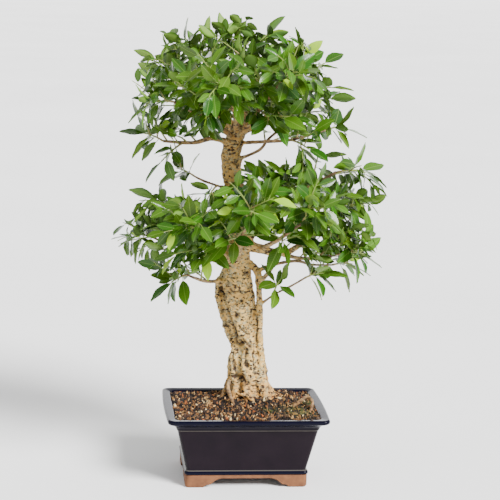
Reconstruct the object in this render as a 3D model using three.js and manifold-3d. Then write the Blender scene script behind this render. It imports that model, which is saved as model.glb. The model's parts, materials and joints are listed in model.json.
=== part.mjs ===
// Ficus bonsai: a stout lobed trunk with a thin aerial stem beside it, two storeys of
// leafy sprays, and a glazed rectangular pot on four feet, filled with gritty soil.
// Millimetres, +Z up. The origin is on the surface under the middle of the pot.
import * as THREE from "three";
import { mergeVertices } from "three/addons/utils/BufferGeometryUtils.js";
import Module from "manifold-3d";

const wasm = await Module();
wasm.setup();

// Driving dimensions of the pot
const POT_LENGTH = 304;
const POT_DEPTH = 230;
const POT_HEIGHT = 136.5;
const RIM_TOP_WIDTH = 16;
const RIM_BOW = 3.5;
const BODY_TOP_Z = 112;
const BODY_TOP_LENGTH = 260;
const BODY_TOP_DEPTH = 191;
const BODY_FOOT_LENGTH = 223;
const BODY_FOOT_DEPTH = 162;
const WALL = 10;
const FOOT_HEIGHT = 24;
const FOOT_LENGTH = 227;
const FOOT_DEPTH = 166;
const FOOT_WALL = 12;
const FLOOR_UNDERSIDE_Z = 19;
const FLOOR_TOP_Z = 28;
const ARCH_HEIGHT = 18;
const FRONT_ARCH_WIDTH = 160;
const SIDE_ARCH_WIDTH = 96;
const DRAIN_HOLE_RADIUS = 11;
const DRAIN_HOLE_X = 54;
const RIM_CORNER = 11;
const BODY_CORNER = 9;
const FOOT_CORNER = 8;
const INNER_CORNER = 6;
const BEAD_PROUD = 1.6;
const LIP_DEPTH = 3;
const FLOOR_FILLET = 5;

// Half of the cut under each side of the pot: how far in from the foot's end, and height.
const ARCH_PROFILE = [[0, -2], [0, 1], [6, 5.5], [13, 6.5], [24, 15], [34, ARCH_HEIGHT]];

// Driving dimensions of the soil and what lies in it
const SOIL_EDGE_Z = 132;
const SOIL_MOUND = 15;
const MOUND_SPREAD = 55;
const SOIL_GRIT = 1.8;
const GRIT_SIZE = 11;
const SOIL_SIDES = 32;
const SOIL_RINGS = 6;
const RING_CROWDING = 1.15;
const SOIL_EDGE_INSET = 0.6;
const SEAT_GAP = 0.4;
const MESH_SIZE = 34;
const MESH_THICKNESS = 1.2;
const MESH_CELLS = 2;
const MESH_BAR = 2.2;

// Driving dimensions of the wood
const TRUNK_SIDES = 10;
const AERIAL_SIDES = 5;
const BOUGH_SIDES = 4;
const ROOT_SIDES = 4;
const ROOT_START = 14;
const ROOT_CREST_Z = 142;
const ROOT_SOIL_Z = 134;
const ROOT_END_Z = 104;

// Driving dimensions of the foliage
const LEAF_LENGTH = 54;
const LEAF_WIDTH = 24;
const LEAF_KEEL = 1.8;
const ROOT_DEPTH = 0.5;
const LEAVES_AT_END = 8;
const LEAVES_AT_SIDE = 6;
const STEM_RADIUS = 1.7;
const BUD_LENGTH = 9;
const BARE_AT_END = 0.2;
const BARE_AT_SIDE = 0.38;
const SHOOT_ARCH = 0.1;
const SEED = 20;

// Leaves stand in a spiral. Their angle to the shoot closes from its base to its tip, they
// sag a little, and their upper side faces up and outwards with some lean of its own.
const LEAF_TURN = 137.5;
const SPREAD = { base: 74, closing: 4, vary: 14, tip: 12 };
const SAG = 0.12;
const FACING = { up: 0.65, out: 0.7, lean: 0.8 };
const CROWN_MIDDLE_Y = 20;
const SIZE = { least: 0.86, vary: 0.28 };
const SLIMNESS = { least: 0.92, vary: 0.2 };
const CURL = { least: 0.04, vary: 0.16 };

// How far leaves stay from other sprays' leaves, their own spray's, wood and stems.
const LEAF_CLEARANCE = 9;
const OWN_CLEARANCE = 5;
const WOOD_CLEARANCE = 5;
const STEM_CLEARANCE = 6;
const LOBE_ROOM = 1.12;
const SAMPLE_STEP = 7;

// The trunk from the soil up: centre x, y, z and radius. It leans left over its waist
// and back again, and thins to the fork of the upper storey.
const TRUNK = [
  [20, 42, 84, 16], [20, 44, 104, 26], [19, 46, 122, 36], [18, 47, 144, 39], [14, 48, 164, 36],
  [9, 48, 187, 34], [7, 48, 204, 33], [8, 48, 221, 29], [9, 48, 237, 25], [4, 46, 254, 23],
  [-2, 44, 275, 26], [-8, 43, 296, 29], [-12, 43, 318, 31], [-16, 45, 338, 31],
  [-18, 48, 359, 30], [-18, 51, 380, 27], [-16, 52, 402, 24], [-12, 55, 431, 22],
  [-1, 56, 459, 19], [4, 56, 483, 17.5], [-3, 54, 507, 16.5], [-17, 53, 532, 16.5],
  [-26, 52, 555, 17.5], [-30, 50, 583, 18], [-31, 50, 608, 17.5], [-25, 52, 630, 16],
  [-18, 53, 650, 13],
];

// The aerial stem that stands free of the trunk's right side between knee and bough.
const AERIAL_STEM = [
  [34, 32, 176, 9], [33, 30, 214, 8], [31, 30, 243, 7], [29, 30, 272, 6.2], [29, 30, 300, 6.2],
  [27, 32, 324, 6.4], [26, 33, 345, 5.8], [25, 36, 366, 6], [22, 39, 383, 7.5],
  [11, 44, 395, 7], [-4, 50, 403, 6],
];

// A root grown flat against the trunk's left side, with a dark crevice behind it.
const CLINGING_ROOT = [
  [-9, 44, 222, 6], [-21, 41, 246, 5.5], [-32, 42, 269, 5], [-41, 43, 296, 5],
  [-48, 44, 319, 5.5], [-51, 46, 340, 6], [-48, 48, 363, 6.5], [-34, 50, 384, 7],
];

// Buried roots and buttresses: compass angle from +X, reach and radius at the trunk.
const ROOTS = [
  { angle: -4, reach: 92, radius: 15 },
  { angle: 26, reach: 72, radius: 13 },
  { angle: 152, reach: 64, radius: 12 },
  { angle: 182, reach: 86, radius: 12 },
  { angle: 214, reach: 96, radius: 13 },
  { angle: 262, reach: 88, radius: 10 },
  { angle: 316, reach: 96, radius: 12 },
];

// One root runs right under the soil and loops out of it near the rim.
const LOOP_ROOT = [
  [30, 30, 128, 9], [64, 6, 122, 6], [86, -10, 130, 4.6], [104, -11, 144, 3.6],
  [119, -7, 152, 3.4], [127, -19, 147, 3.3], [124, -34, 138, 3], [119, -44, 126, 2.6],
];

// Boughs: a route from inside the trunk or the parent bough, the radius at each end, and
// the sprays it carries. A spray is [how far along the bough it leaves, tip x, y, z].
const BOUGHS = [
  {
    name: "right_leader", radius: [8, 3.2],
    route: [[-20, 52, 640], [20, 26, 670], [40, 16, 682], [58, 6, 706], [88, -6, 762]],
    sprays: [[1, 82, -5, 800], [0.85, 126, 10, 776], [0.66, 132, -30, 738]],
  },
  {
    name: "left_leader", radius: [8, 3],
    route: [[-20, 53, 636], [-54, 74, 694], [-70, 84, 726], [-86, 90, 760]],
    sprays: [[1, -122, 82, 802], [0.8, -76, 108, 806], [0.6, -170, 72, 774], [0.4, -92, -20, 775]],
  },
  {
    name: "centre_leader", radius: [7.5, 3],
    route: [[-20, 53, 636], [-10, 70, 686], [-12, 86, 734], [-20, 100, 794]],
    sprays: [[1, -40, 82, 818], [0.8, 28, 96, 818], [0.5, -28, -15, 800]],
  },
  {
    name: "low_left_arm", radius: [6, 2.5],
    route: [[-28, 51, 622], [-66, 38, 634], [-106, 32, 626], [-160, 34, 628]],
    sprays: [[1, -188, 38, 640], [0.72, -160, 8, 598]],
  },
  {
    name: "front_left_arm", radius: [6, 2.5],
    route: [[-24, 50, 630], [-66, 4, 664], [-108, -26, 688], [-146, -44, 708]],
    sprays: [[1, -184, -40, 706], [0.6, -138, -68, 742]],
  },
  {
    name: "front_arm", radius: [6.5, 2.5],
    route: [[-22, 50, 634], [-32, -12, 682], [-44, -62, 712], [-56, -100, 732]],
    sprays: [[1, -75, -153, 754], [0.55, -98, -102, 706]],
  },
  {
    name: "back_arm", radius: [6.5, 2.5],
    route: [[-20, 54, 634], [-2, 94, 678], [8, 122, 704], [14, 142, 726]],
    sprays: [[1, 40, 156, 764], [0.6, 86, 140, 700]],
  },
  {
    name: "front_right_arm", radius: [6, 2.5],
    route: [[-20, 50, 636], [8, -14, 690], [24, -58, 724], [38, -92, 748]],
    sprays: [[1, 58, -130, 772], [0.65, -8, -104, 772], [0.4, 42, -80, 688]],
  },
  {
    name: "back_left_arm", radius: [6, 2.5],
    route: [[-24, 54, 632], [-62, 100, 680], [-90, 128, 702], [-112, 146, 718]],
    sprays: [[1, -150, 152, 738], [0.6, -82, 154, 656]],
  },
  {
    name: "low_right_arm", radius: [4, 1.8],
    route: [[-26, 52, 624], [36, 22, 632], [76, 6, 638], [136, -6, 658]],
    sprays: [[1, 160, -5, 664], [0.6, 98, -26, 628]],
  },
  {
    name: "back_right_arm", radius: [3.5, 2],
    route: [[-30, 50, 590], [20, 60, 610], [46, 74, 636], [112, 102, 682]],
    sprays: [[1, 150, 95, 706]],
  },
  {
    name: "knobby_bough", radius: [10, 3],
    route: [[-10, 54, 434], [30, 36, 426], [56, 28, 422], [80, 22, 426], [104, 22, 442],
      [158, 26, 482]],
    sprays: [[1, 198, 12, 520], [0.78, 126, -54, 532]],
  },
  {
    name: "shoulder_bough", radius: [7, 2.5],
    route: [[0, 55, 456], [30, 32, 490], [62, 22, 516], [98, 18, 540], [162, 24, 576]],
    sprays: [[1, 208, 6, 580], [0.75, 132, 50, 606], [0.5, 62, -34, 582], [0.3, 12, -44, 556]],
  },
  {
    name: "long_right_bough", radius: [4.5, 2],
    route: [[58, 24, 422], [98, 6, 416], [136, -6, 420], [180, -17, 432]],
    sprays: [[1, 206, -22, 432], [0.6, 180, -32, 474]],
  },
  {
    name: "low_right_bough", radius: [4, 1.6],
    route: [[20, 40, 384], [58, 48, 396], [98, 54, 401], [128, 56, 394], [166, 54, 394]],
    sprays: [[1, 198, 50, 398]],
  },
  {
    name: "low_twig", radius: [2.6, 1.6],
    route: [[27, 32, 320], [56, 16, 346], [84, -2, 366], [104, -14, 382]],
    sprays: [[1, 130, -24, 394], [0.3, 58, -8, 374]],
  },
  {
    name: "left_bough", radius: [5.5, 2],
    route: [[-20, 52, 386], [-74, 46, 410], [-108, 64, 422], [-160, 98, 430]],
    sprays: [[1, -200, 108, 440], [0.55, -142, 82, 462]],
  },
  {
    name: "upper_left_bough", radius: [5.5, 2.2],
    route: [[-14, 54, 418], [-64, 50, 448], [-94, 50, 468], [-140, 58, 498]],
    sprays: [[1, -164, 62, 512], [0.6, -122, 0, 516]],
  },
  {
    name: "low_left_bough", radius: [4, 2],
    route: [[-24, 49, 364], [-72, 28, 366], [-94, 16, 374], [-112, 10, 382]],
    sprays: [[1, -136, 0, 374]],
  },
  {
    name: "front_bough", radius: [6, 2.4],
    route: [[-16, 50, 392], [-18, -28, 444], [-18, -78, 480], [-12, -118, 504]],
    sprays: [[1, -15, -163, 540], [0.6, -48, -114, 472]],
  },
  {
    name: "back_bough", radius: [6, 2.4],
    route: [[-8, 55, 440], [24, 98, 468], [38, 124, 486], [44, 144, 500]],
    sprays: [[1, 56, 160, 526]],
  },
  {
    name: "thin_left_bough", radius: [3, 1.6],
    route: [[-20, 53, 532], [-62, 50, 546], [-84, 46, 554], [-100, 44, 562]],
    sprays: [[1, -128, 40, 576], [0.45, -76, 10, 528]],
  },
  {
    name: "front_left_bough", radius: [5.5, 2.2],
    route: [[-18, 50, 392], [-62, -18, 438], [-84, -60, 464], [-100, -86, 480]],
    sprays: [[1, -122, -116, 498], [0.55, -88, -94, 440]],
  },
  {
    name: "front_right_bough", radius: [5, 2.2],
    route: [[26, 37, 427], [52, -24, 456], [70, -72, 484], [84, -102, 500]],
    sprays: [[1, 92, -136, 536], [0.55, 48, -108, 466]],
  },
  {
    name: "back_left_bough", radius: [5.5, 2.2],
    route: [[-16, 54, 408], [-56, 102, 430], [-80, 130, 444], [-96, 148, 452]],
    sprays: [[1, -118, 162, 470]],
  },
  {
    name: "back_right_bough", radius: [4.5, 2.2],
    route: [[80, 22, 426], [114, 70, 438], [140, 98, 454], [162, 116, 466]],
    sprays: [[1, 186, 132, 496]],
  },
  {
    name: "strut", radius: [4, 4],
    route: [[25, 36, 360], [42, 32, 382], [54, 28, 406], [60, 27, 422]],
    sprays: [],
  },
];

const MATERIALS = {
  glaze: new THREE.MeshStandardMaterial({ color: 0x1d1c2b, roughness: 0.18, metalness: 0 }),
  soil: new THREE.MeshStandardMaterial({ color: 0x5a4636, roughness: 0.95, metalness: 0 }),
  bark: new THREE.MeshStandardMaterial({ color: 0xb7a277, roughness: 0.85, metalness: 0 }),
  leaf: new THREE.MeshStandardMaterial({ color: 0x3f7a2f, roughness: 0.4, metalness: 0 }),
  mesh: new THREE.MeshStandardMaterial({ color: 0x20221f, roughness: 0.6, metalness: 0 }),
};

const UP = new THREE.Vector3(0, 0, 1);
const vec = (p) => new THREE.Vector3(p[0], p[1], p[2]);
const radians = (degrees) => (degrees * Math.PI) / 180;

// A repeatable stream of numbers from 0 to 1.
function seeded(seed) {
  let state = seed >>> 0;
  return () => {
    state = (state + 0x6d2b79f5) >>> 0;
    let t = state;
    t = Math.imul(t ^ (t >>> 15), t | 1);
    t ^= t + Math.imul(t ^ (t >>> 7), t | 61);
    return ((t ^ (t >>> 14)) >>> 0) / 4294967296;
  };
}

// Closed triangle skin through rings of equal count. Each end is a flat cap, or runs to a
// point when one is given.
function skin(rings, { firstPoint = null, lastPoint = null } = {}) {
  const count = rings[0].length;
  const points = rings.flat();
  const faces = [];
  rings.slice(1).forEach((_, r) => {
    for (let i = 0; i < count; i++) {
      const a = r * count + i;
      const b = r * count + ((i + 1) % count);
      faces.push(a, b, a + count, b, b + count, a + count);
    }
  });
  const close = (start, apex, flip) => {
    const fan = [];
    if (apex) {
      points.push(apex);
      for (let i = 0; i < count; i++) {
        fan.push(points.length - 1, start + ((i + 1) % count), start + i);
      }
    } else {
      for (let i = 1; i < count - 1; i++) {
        fan.push(start, start + i + 1, start + i);
      }
    }
    for (let i = 0; i < fan.length; i += 3) {
      faces.push(fan[i], fan[flip ? i + 2 : i + 1], fan[flip ? i + 1 : i + 2]);
    }
  };
  close(0, firstPoint, false);
  close((rings.length - 1) * count, lastPoint, true);
  const geometry = new THREE.BufferGeometry();
  geometry.setAttribute(
    "position",
    new THREE.Float32BufferAttribute(points.flatMap((p) => [p.x, p.y, p.z]), 3),
  );
  geometry.setIndex(faces);
  return geometry;
}

function toSolid(geometry) {
  const bare = new THREE.BufferGeometry();
  bare.setAttribute("position", geometry.getAttribute("position").clone());
  if (geometry.index) bare.setIndex(geometry.index.clone());
  const merged = mergeVertices(bare, 1e-4);
  return new wasm.Manifold(
    new wasm.Mesh({
      numProp: 3,
      vertProperties: new Float32Array(merged.attributes.position.array),
      triVerts: new Uint32Array(merged.index.array),
    }),
  );
}

function toMesh(solid, name, material) {
  const data = solid.getMesh();
  const geometry = new THREE.BufferGeometry();
  geometry.setAttribute("position", new THREE.BufferAttribute(data.vertProperties, 3));
  geometry.setIndex(new THREE.BufferAttribute(data.triVerts, 1));
  geometry.computeVertexNormals();
  const mesh = new THREE.Mesh(geometry, material);
  mesh.name = name;
  return mesh;
}

const largest = (solid) =>
  solid.decompose().reduce((a, b) => (b.volume() > a.volume() ? b : a));

const joined = (solids) => solids.reduce((a, b) => a.add(b));

// Rounded rectangle in plan at height z, anticlockwise. Its short sides may bow outwards.
function outline(z, halfLength, halfDepth, corner, bow = 0) {
  const points = [];
  for (let quarter = 0; quarter < 4; quarter++) {
    const sx = quarter === 0 || quarter === 3 ? 1 : -1;
    const sy = quarter < 2 ? 1 : -1;
    for (let step = 0; step < 4; step++) {
      const angle = radians(quarter * 90 + step * 30);
      points.push(
        new THREE.Vector3(
          sx * (halfLength - corner) + corner * Math.cos(angle),
          sy * (halfDepth - corner) + corner * Math.sin(angle),
          z,
        ),
      );
    }
    if (quarter === 1) points.push(new THREE.Vector3(-halfLength - bow, 0, z));
    if (quarter === 3) points.push(new THREE.Vector3(halfLength + bow, 0, z));
  }
  return points;
}

// The pot's inner wall from the rim's inner edge down: z, half length, half depth, corner.
const rimInnerHalf = [
  POT_LENGTH / 2 - RIM_BOW / 2 - RIM_TOP_WIDTH, POT_DEPTH / 2 - RIM_TOP_WIDTH - 1,
];
const bodyTop = (z, out, corner = BODY_CORNER, bow = 0) => [
  z, BODY_TOP_LENGTH / 2 + out, BODY_TOP_DEPTH / 2 + out, corner, bow,
];
const bodyFoot = (z, out, corner) => [
  z, BODY_FOOT_LENGTH / 2 + out, BODY_FOOT_DEPTH / 2 + out, corner,
];
const POT_INSIDE = [
  [POT_HEIGHT - LIP_DEPTH, rimInnerHalf[0], rimInnerHalf[1], RIM_CORNER],
  bodyTop(BODY_TOP_Z, -WALL),
  bodyFoot(FLOOR_TOP_Z + FLOOR_FILLET, -WALL, FOOT_CORNER),
  bodyFoot(FLOOR_TOP_Z, -WALL - FLOOR_FILLET, INNER_CORNER),
];

// The pot's section as a list of levels: up the outside from the foot ring, over the rolled
// rim and down the inner wall.
function potLevels() {
  const rimX = POT_LENGTH / 2 - RIM_BOW;
  const rimY = POT_DEPTH / 2;
  const footX = FOOT_LENGTH / 2;
  const footY = FOOT_DEPTH / 2;
  const rim = (drop, inset, bow = RIM_BOW) => [
    POT_HEIGHT - drop, rimX - inset, rimY - inset, RIM_CORNER, bow,
  ];
  const foot = (z, out, corner = FOOT_CORNER) => [z, footX + out, footY + out, corner];
  const innerLip = LIP_DEPTH / 2;
  return [
    foot(FLOOR_UNDERSIDE_Z, -FOOT_WALL, INNER_CORNER),
    foot(0, 1 - FOOT_WALL, INNER_CORNER),
    foot(0, -1.8),
    foot(2.5, 0),
    foot(FOOT_HEIGHT - 1.5, 0),
    foot(FOOT_HEIGHT, -1),
    foot(FOOT_HEIGHT + 1.5, BEAD_PROUD),
    foot(FOOT_HEIGHT + 6, BEAD_PROUD),
    bodyFoot(FOOT_HEIGHT + 9, 0, FOOT_CORNER),
    bodyTop(BODY_TOP_Z, 0),
    bodyTop(BODY_TOP_Z + 1.3, 1.4),
    bodyTop(BODY_TOP_Z + 7, 3, BODY_CORNER, RIM_BOW * 0.3),
    bodyTop(BODY_TOP_Z + 12.5, 8.5, BODY_CORNER + 1, RIM_BOW * 0.7),
    rim(9, 3),
    rim(6.5, 0.3),
    rim(2, 0.3),
    rim(0, 2.5),
    [POT_HEIGHT - innerLip, rimInnerHalf[0] + innerLip, rimInnerHalf[1] + innerLip, RIM_CORNER],
    ...POT_INSIDE,
  ];
}

// The cut under the pot between two feet, with a small scallop at each foot.
function archCutter(width, through) {
  const half = width / 2;
  const right = ARCH_PROFILE.map(([inwards, z]) => new THREE.Vector2(half - inwards, z));
  const left = right.map((p) => new THREE.Vector2(-p.x, p.y)).reverse();
  const shape = new THREE.Shape([...right, ...left]);
  const geometry = new THREE.ExtrudeGeometry(shape, { depth: through, bevelEnabled: false });
  geometry.translate(0, 0, -through / 2);
  geometry.rotateX(Math.PI / 2);
  return geometry;
}

function makePot() {
  let pot = toSolid(skin(potLevels().map((level) => outline(...level))));
  pot = pot.subtract(toSolid(archCutter(FRONT_ARCH_WIDTH, POT_DEPTH)));
  pot = pot.subtract(toSolid(archCutter(SIDE_ARCH_WIDTH, POT_LENGTH).rotateZ(Math.PI / 2)));
  for (const side of [-1, 1]) {
    const hole = new THREE.CylinderGeometry(DRAIN_HOLE_RADIUS, DRAIN_HOLE_RADIUS, 40, 10);
    hole.rotateX(Math.PI / 2).translate(side * DRAIN_HOLE_X, 0, FLOOR_TOP_Z);
    pot = pot.subtract(toSolid(hole));
  }
  return pot;
}

// Square plastic mesh laid over a drain hole, under the soil.
function makeDrainMesh() {
  const pitch = (MESH_SIZE - MESH_BAR) / MESH_CELLS;
  const sheet = new THREE.BoxGeometry(MESH_SIZE, MESH_SIZE, MESH_THICKNESS);
  let mesh = toSolid(sheet.translate(0, 0, MESH_THICKNESS / 2));
  for (let row = 0; row < MESH_CELLS; row++) {
    for (let column = 0; column < MESH_CELLS; column++) {
      const window = new THREE.BoxGeometry(pitch - MESH_BAR, pitch - MESH_BAR, 4 * MESH_THICKNESS);
      const place = (index) => (index - (MESH_CELLS - 1) / 2) * pitch;
      mesh = mesh.subtract(toSolid(window.translate(place(row), place(column), 0)));
    }
  }
  return mesh;
}

// Smooth noise from -1 to 1 on a square grid of cells.
function grit(x, y) {
  const corner = (i, j) => {
    const s = Math.sin(i * 127.1 + j * 311.7) * 43758.5453;
    return 2 * (s - Math.floor(s)) - 1;
  };
  const i = Math.floor(x);
  const j = Math.floor(y);
  const u = x - i;
  const v = y - j;
  const low = corner(i, j) * (1 - u) + corner(i + 1, j) * u;
  const high = corner(i, j + 1) * (1 - u) + corner(i + 1, j + 1) * u;
  return low * (1 - v) + high * v;
}

// Height of the soil: level with the rim at the edge, mounded round the trunk, gritty.
function soilHeight(x, y) {
  const [cx, cy] = TRUNK[2];
  const spread = Math.hypot(x - cx, y - cy) / MOUND_SPREAD;
  const inside = (1 - (x / rimInnerHalf[0]) ** 6) * (1 - (y / rimInnerHalf[1]) ** 6);
  const mound = SOIL_MOUND * Math.exp(-spread * spread / 2) * Math.max(0, inside);
  return SOIL_EDGE_Z + mound + SOIL_GRIT * grit(x / GRIT_SIZE, y / GRIT_SIZE);
}

// Evenly spaced points round a rounded rectangle.
function evenOutline(z, halfLength, halfDepth, corner, count) {
  const line = new THREE.Shape();
  const x = halfLength - corner;
  const y = halfDepth - corner;
  line.absarc(x, y, corner, 0, Math.PI / 2);
  line.absarc(-x, y, corner, Math.PI / 2, Math.PI);
  line.absarc(-x, -y, corner, Math.PI, Math.PI * 1.5);
  line.absarc(x, -y, corner, Math.PI * 1.5, Math.PI * 2);
  line.closePath();
  return line.getSpacedPoints(count).slice(0, count).map((p) => new THREE.Vector3(p.x, p.y, z));
}

function makeSoil(wood) {
  const inset = ([z, a, b, corner]) =>
    evenOutline(z, a - 2 * SEAT_GAP, b - 2 * SEAT_GAP, corner, SOIL_SIDES);
  const [edge, neck, foot, floor] = POT_INSIDE;
  const rings = [
    inset([FLOOR_TOP_Z + SEAT_GAP, ...floor.slice(1)]),
    inset([FLOOR_TOP_Z + FLOOR_FILLET + SEAT_GAP, ...foot.slice(1)]),
    inset(neck),
  ];
  for (let ring = 0; ring < SOIL_RINGS; ring++) {
    const scale = 1 - (ring / SOIL_RINGS) ** RING_CROWDING;
    const flat = inset([0, edge[1] - SOIL_EDGE_INSET, edge[2] - SOIL_EDGE_INSET, edge[3]]);
    rings.push(flat.map((p) => {
      const x = p.x * scale;
      const y = p.y * scale;
      return new THREE.Vector3(x, y, ring === 0 ? SOIL_EDGE_Z : soilHeight(x, y));
    }));
  }
  const centre = new THREE.Vector3(0, 0, soilHeight(0, 0));
  let soil = toSolid(skin(rings, { lastPoint: centre }));
  soil = soil.subtract(wood);
  for (const side of [-1, 1]) {
    const room = new THREE.BoxGeometry(
      MESH_SIZE + 1, MESH_SIZE + 1, 2 * (MESH_THICKNESS + 2 * SEAT_GAP),
    );
    room.translate(side * DRAIN_HOLE_X, 0, FLOOR_TOP_Z);
    soil = soil.subtract(toSolid(room));
  }
  return soil;
}

// Unit tangent and a steady pair of side vectors at each point of a route.
function frames(points) {
  const list = [];
  let side = null;
  points.forEach((p, i) => {
    const before = points[Math.max(0, i - 1)];
    const after = points[Math.min(points.length - 1, i + 1)];
    const along = after.clone().sub(before).normalize();
    if (!side) side = Math.abs(along.x) < 0.7 ? new THREE.Vector3(1, 0, 0) : UP.clone();
    side = side.clone().addScaledVector(along, -side.dot(along)).normalize();
    list.push({ along, side, other: along.clone().cross(side) });
  });
  return list;
}

// Tube round a route with its own radius at each point. lobes(angle, z) swells it.
function tube(points, radii, sides, { lobes = () => 1, lastPoint = null } = {}) {
  const turn = frames(points);
  const rings = points.map((p, i) => {
    const ring = [];
    for (let k = 0; k < sides; k++) {
      const angle = (k / sides) * 2 * Math.PI;
      const reach = radii[i] * lobes(angle, p.z);
      ring.push(
        p.clone()
          .addScaledVector(turn[i].side, reach * Math.cos(angle))
          .addScaledVector(turn[i].other, reach * Math.sin(angle)),
      );
    }
    return ring;
  });
  return toSolid(skin(rings, { lastPoint }));
}

// The trunk is fluted where old aerial roots have fused into it.
const trunkLobes = (angle, z) =>
  1 + 0.09 * Math.cos(3 * angle + z / 60) + 0.05 * Math.cos(5 * angle - z / 45);

function rootRoute({ angle, reach, radius }) {
  const [x, y] = TRUNK[2];
  const out = (r, z) => new THREE.Vector3(
    x + r * Math.cos(radians(angle)), y + r * Math.sin(radians(angle)), z,
  );
  return {
    points: [
      out(ROOT_START, ROOT_CREST_Z), out(reach * 0.6, ROOT_SOIL_Z), out(reach, ROOT_END_Z),
    ],
    radii: [radius, radius * 0.7, radius * 0.2],
  };
}

const pointsOf = (list) => list.map(vec);
const radiiOf = (list) => list.map((p) => p[3]);

// A point part of the way along a route of straight legs.
function along(points, share) {
  const legs = points.slice(1).map((p, i) => p.distanceTo(points[i]));
  let left = share * legs.reduce((a, b) => a + b, 0);
  for (let i = 0; i < legs.length; i++) {
    if (left <= legs[i]) return points[i].clone().lerp(points[i + 1], left / legs[i]);
    left -= legs[i];
  }
  return points[points.length - 1].clone();
}

// A shoot leaves its bough, bends up and ends at the spray's tip. Its first part is bare,
// and the rest carries the leaves.
function shootsOf(bough) {
  const route = pointsOf(bough.route);
  return bough.sprays.map(([share, x, y, z], i) => {
    const start = along(route, share);
    const tip = new THREE.Vector3(x, y, z);
    const reach = tip.distanceTo(start);
    const bend = start.clone().lerp(tip, 0.5).addScaledVector(UP, reach * SHOOT_ARCH);
    const curve = new THREE.QuadraticBezierCurve3(start, bend, tip);
    const atEnd = share === 1;
    return {
      name: `spray_${bough.name}_${i + 1}`,
      bough,
      curve,
      bare: atEnd ? BARE_AT_END : BARE_AT_SIDE,
      count: atEnd ? LEAVES_AT_END : LEAVES_AT_SIDE,
    };
  });
}

const SHOOTS = BOUGHS.flatMap(shootsOf);

function stretchOf(curve, from, to, steps) {
  const points = [];
  for (let i = 0; i <= steps; i++) {
    points.push(curve.getPoint(from + ((to - from) * i) / steps));
  }
  return points;
}

// The tree's wood, all of it grown as one piece.
function makeWood() {
  const solids = [
    tube(pointsOf(TRUNK), radiiOf(TRUNK), TRUNK_SIDES, { lobes: trunkLobes }),
    tube(pointsOf(AERIAL_STEM), radiiOf(AERIAL_STEM), AERIAL_SIDES),
    tube(pointsOf(CLINGING_ROOT), radiiOf(CLINGING_ROOT), ROOT_SIDES),
    ...rootSolids(0),
  ];
  return joined([...solids, ...BOUGHS.map((bough) => boughSolid(bough, 0))]);
}

// A bough, or with a positive margin the room that its shoots leave round it.
function boughSolid({ route, radius: [thick, thin] }, margin) {
  const points = pointsOf(route);
  const last = points.length - 1;
  const end = points[last].clone().sub(points[last - 1]).normalize();
  points[last].addScaledVector(end, margin);
  const radii = points.map((_, i) => margin + thick + ((thin - thick) * i) / last);
  return tube(points, radii, BOUGH_SIDES);
}

function rootSolids(margin) {
  const grown = (radii) => radii.map((r) => r + margin);
  const solids = ROOTS.map((root) => {
    const { points, radii } = rootRoute(root);
    return tube(points, grown(radii), ROOT_SIDES);
  });
  solids.push(tube(pointsOf(LOOP_ROOT), grown(radiiOf(LOOP_ROOT)), ROOT_SIDES));
  return solids;
}

// Room in the soil for the trunk's foot and the roots.
function makeRootHole() {
  const base = TRUNK.slice(0, 6);
  const points = pointsOf(base);
  points[0].z -= SEAT_GAP;
  const radii = radiiOf(base).map((r) => r + 2 * SEAT_GAP);
  const trunk = tube(points, radii, TRUNK_SIDES, { lobes: trunkLobes });
  return joined([trunk, ...rootSolids(SEAT_GAP)]);
}

// Finds points of a leaf, given where it springs from, where it points, its upper side and
// its size: a share of the length, a share of the width, and a drop below the upper side.
function pointFinder({ base, direction, face, length, width, curl }) {
  const side = direction.clone().cross(face).normalize();
  return (share, across, drop) =>
    base.clone()
      .addScaledVector(direction, length * share)
      .addScaledVector(face, -length * curl * share * share - drop)
      .addScaledVector(side, across * width);
}

const LEAF_SECTIONS = [
  { share: 0.16, half: 0.09 },
  { share: 0.45, half: 0.5 },
  { share: 0.78, half: 0.37 },
];

// Blade with a flat upper side and a keel under the midrib, running to a point each end.
function leafSolid(leaf) {
  const at = pointFinder(leaf);
  const rings = LEAF_SECTIONS.map(({ share, half }) => [
    at(share, -half, 0), at(share, half, 0), at(share, 0, LEAF_KEEL),
  ]);
  const root = leaf.base.clone().addScaledVector(leaf.direction, -ROOT_DEPTH);
  return toSolid(skin(rings, { firstPoint: root, lastPoint: at(1, 0, LEAF_KEEL * 0.3) }));
}

// Points spread over a leaf, by which it is kept clear of its neighbours.
function leafSamples(leaf) {
  const at = pointFinder(leaf);
  const spots = [
    [0.28, 0], [0.45, 0], [0.62, 0], [0.8, 0], [1, 0], [0.36, 0.34], [0.36, -0.34],
    [0.55, 0.42], [0.55, -0.42], [0.76, 0.32], [0.76, -0.32], [0.9, 0.16], [0.9, -0.16],
  ];
  return spots.map(([share, across]) => at(share, across, 0));
}

function isClear(samples, others, distance) {
  const limit = distance * distance;
  return samples.every((s) => others.every((o) => s.distanceToSquared(o.point) > limit * o.scale));
}

// Every few millimetres of wood and stem, as points that leaves keep clear of.
function woodSamples() {
  const list = [];
  const add = (points, radius) => {
    points.slice(1).forEach((p, i) => {
      const steps = Math.ceil(p.distanceTo(points[i]) / SAMPLE_STEP);
      for (let k = 0; k <= steps; k++) {
        const point = points[i].clone().lerp(p, k / steps);
        const distance = radius(i + k / steps) + WOOD_CLEARANCE;
        list.push({ point, scale: (distance / LEAF_CLEARANCE) ** 2 });
      }
    });
  };
  const listed = (rows) => add(pointsOf(rows), (i) => rows[Math.round(i)][3] * LOBE_ROOM);
  [TRUNK, AERIAL_STEM, CLINGING_ROOT].forEach(listed);
  for (const { route, radius: [thick, thin] } of BOUGHS) {
    add(pointsOf(route), (i) => thick + ((thin - thick) * i) / (route.length - 1));
  }
  return list;
}

const AZIMUTH_TRIES = [0, 35, -35, 70, -70, 110, -110, 150];

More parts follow.
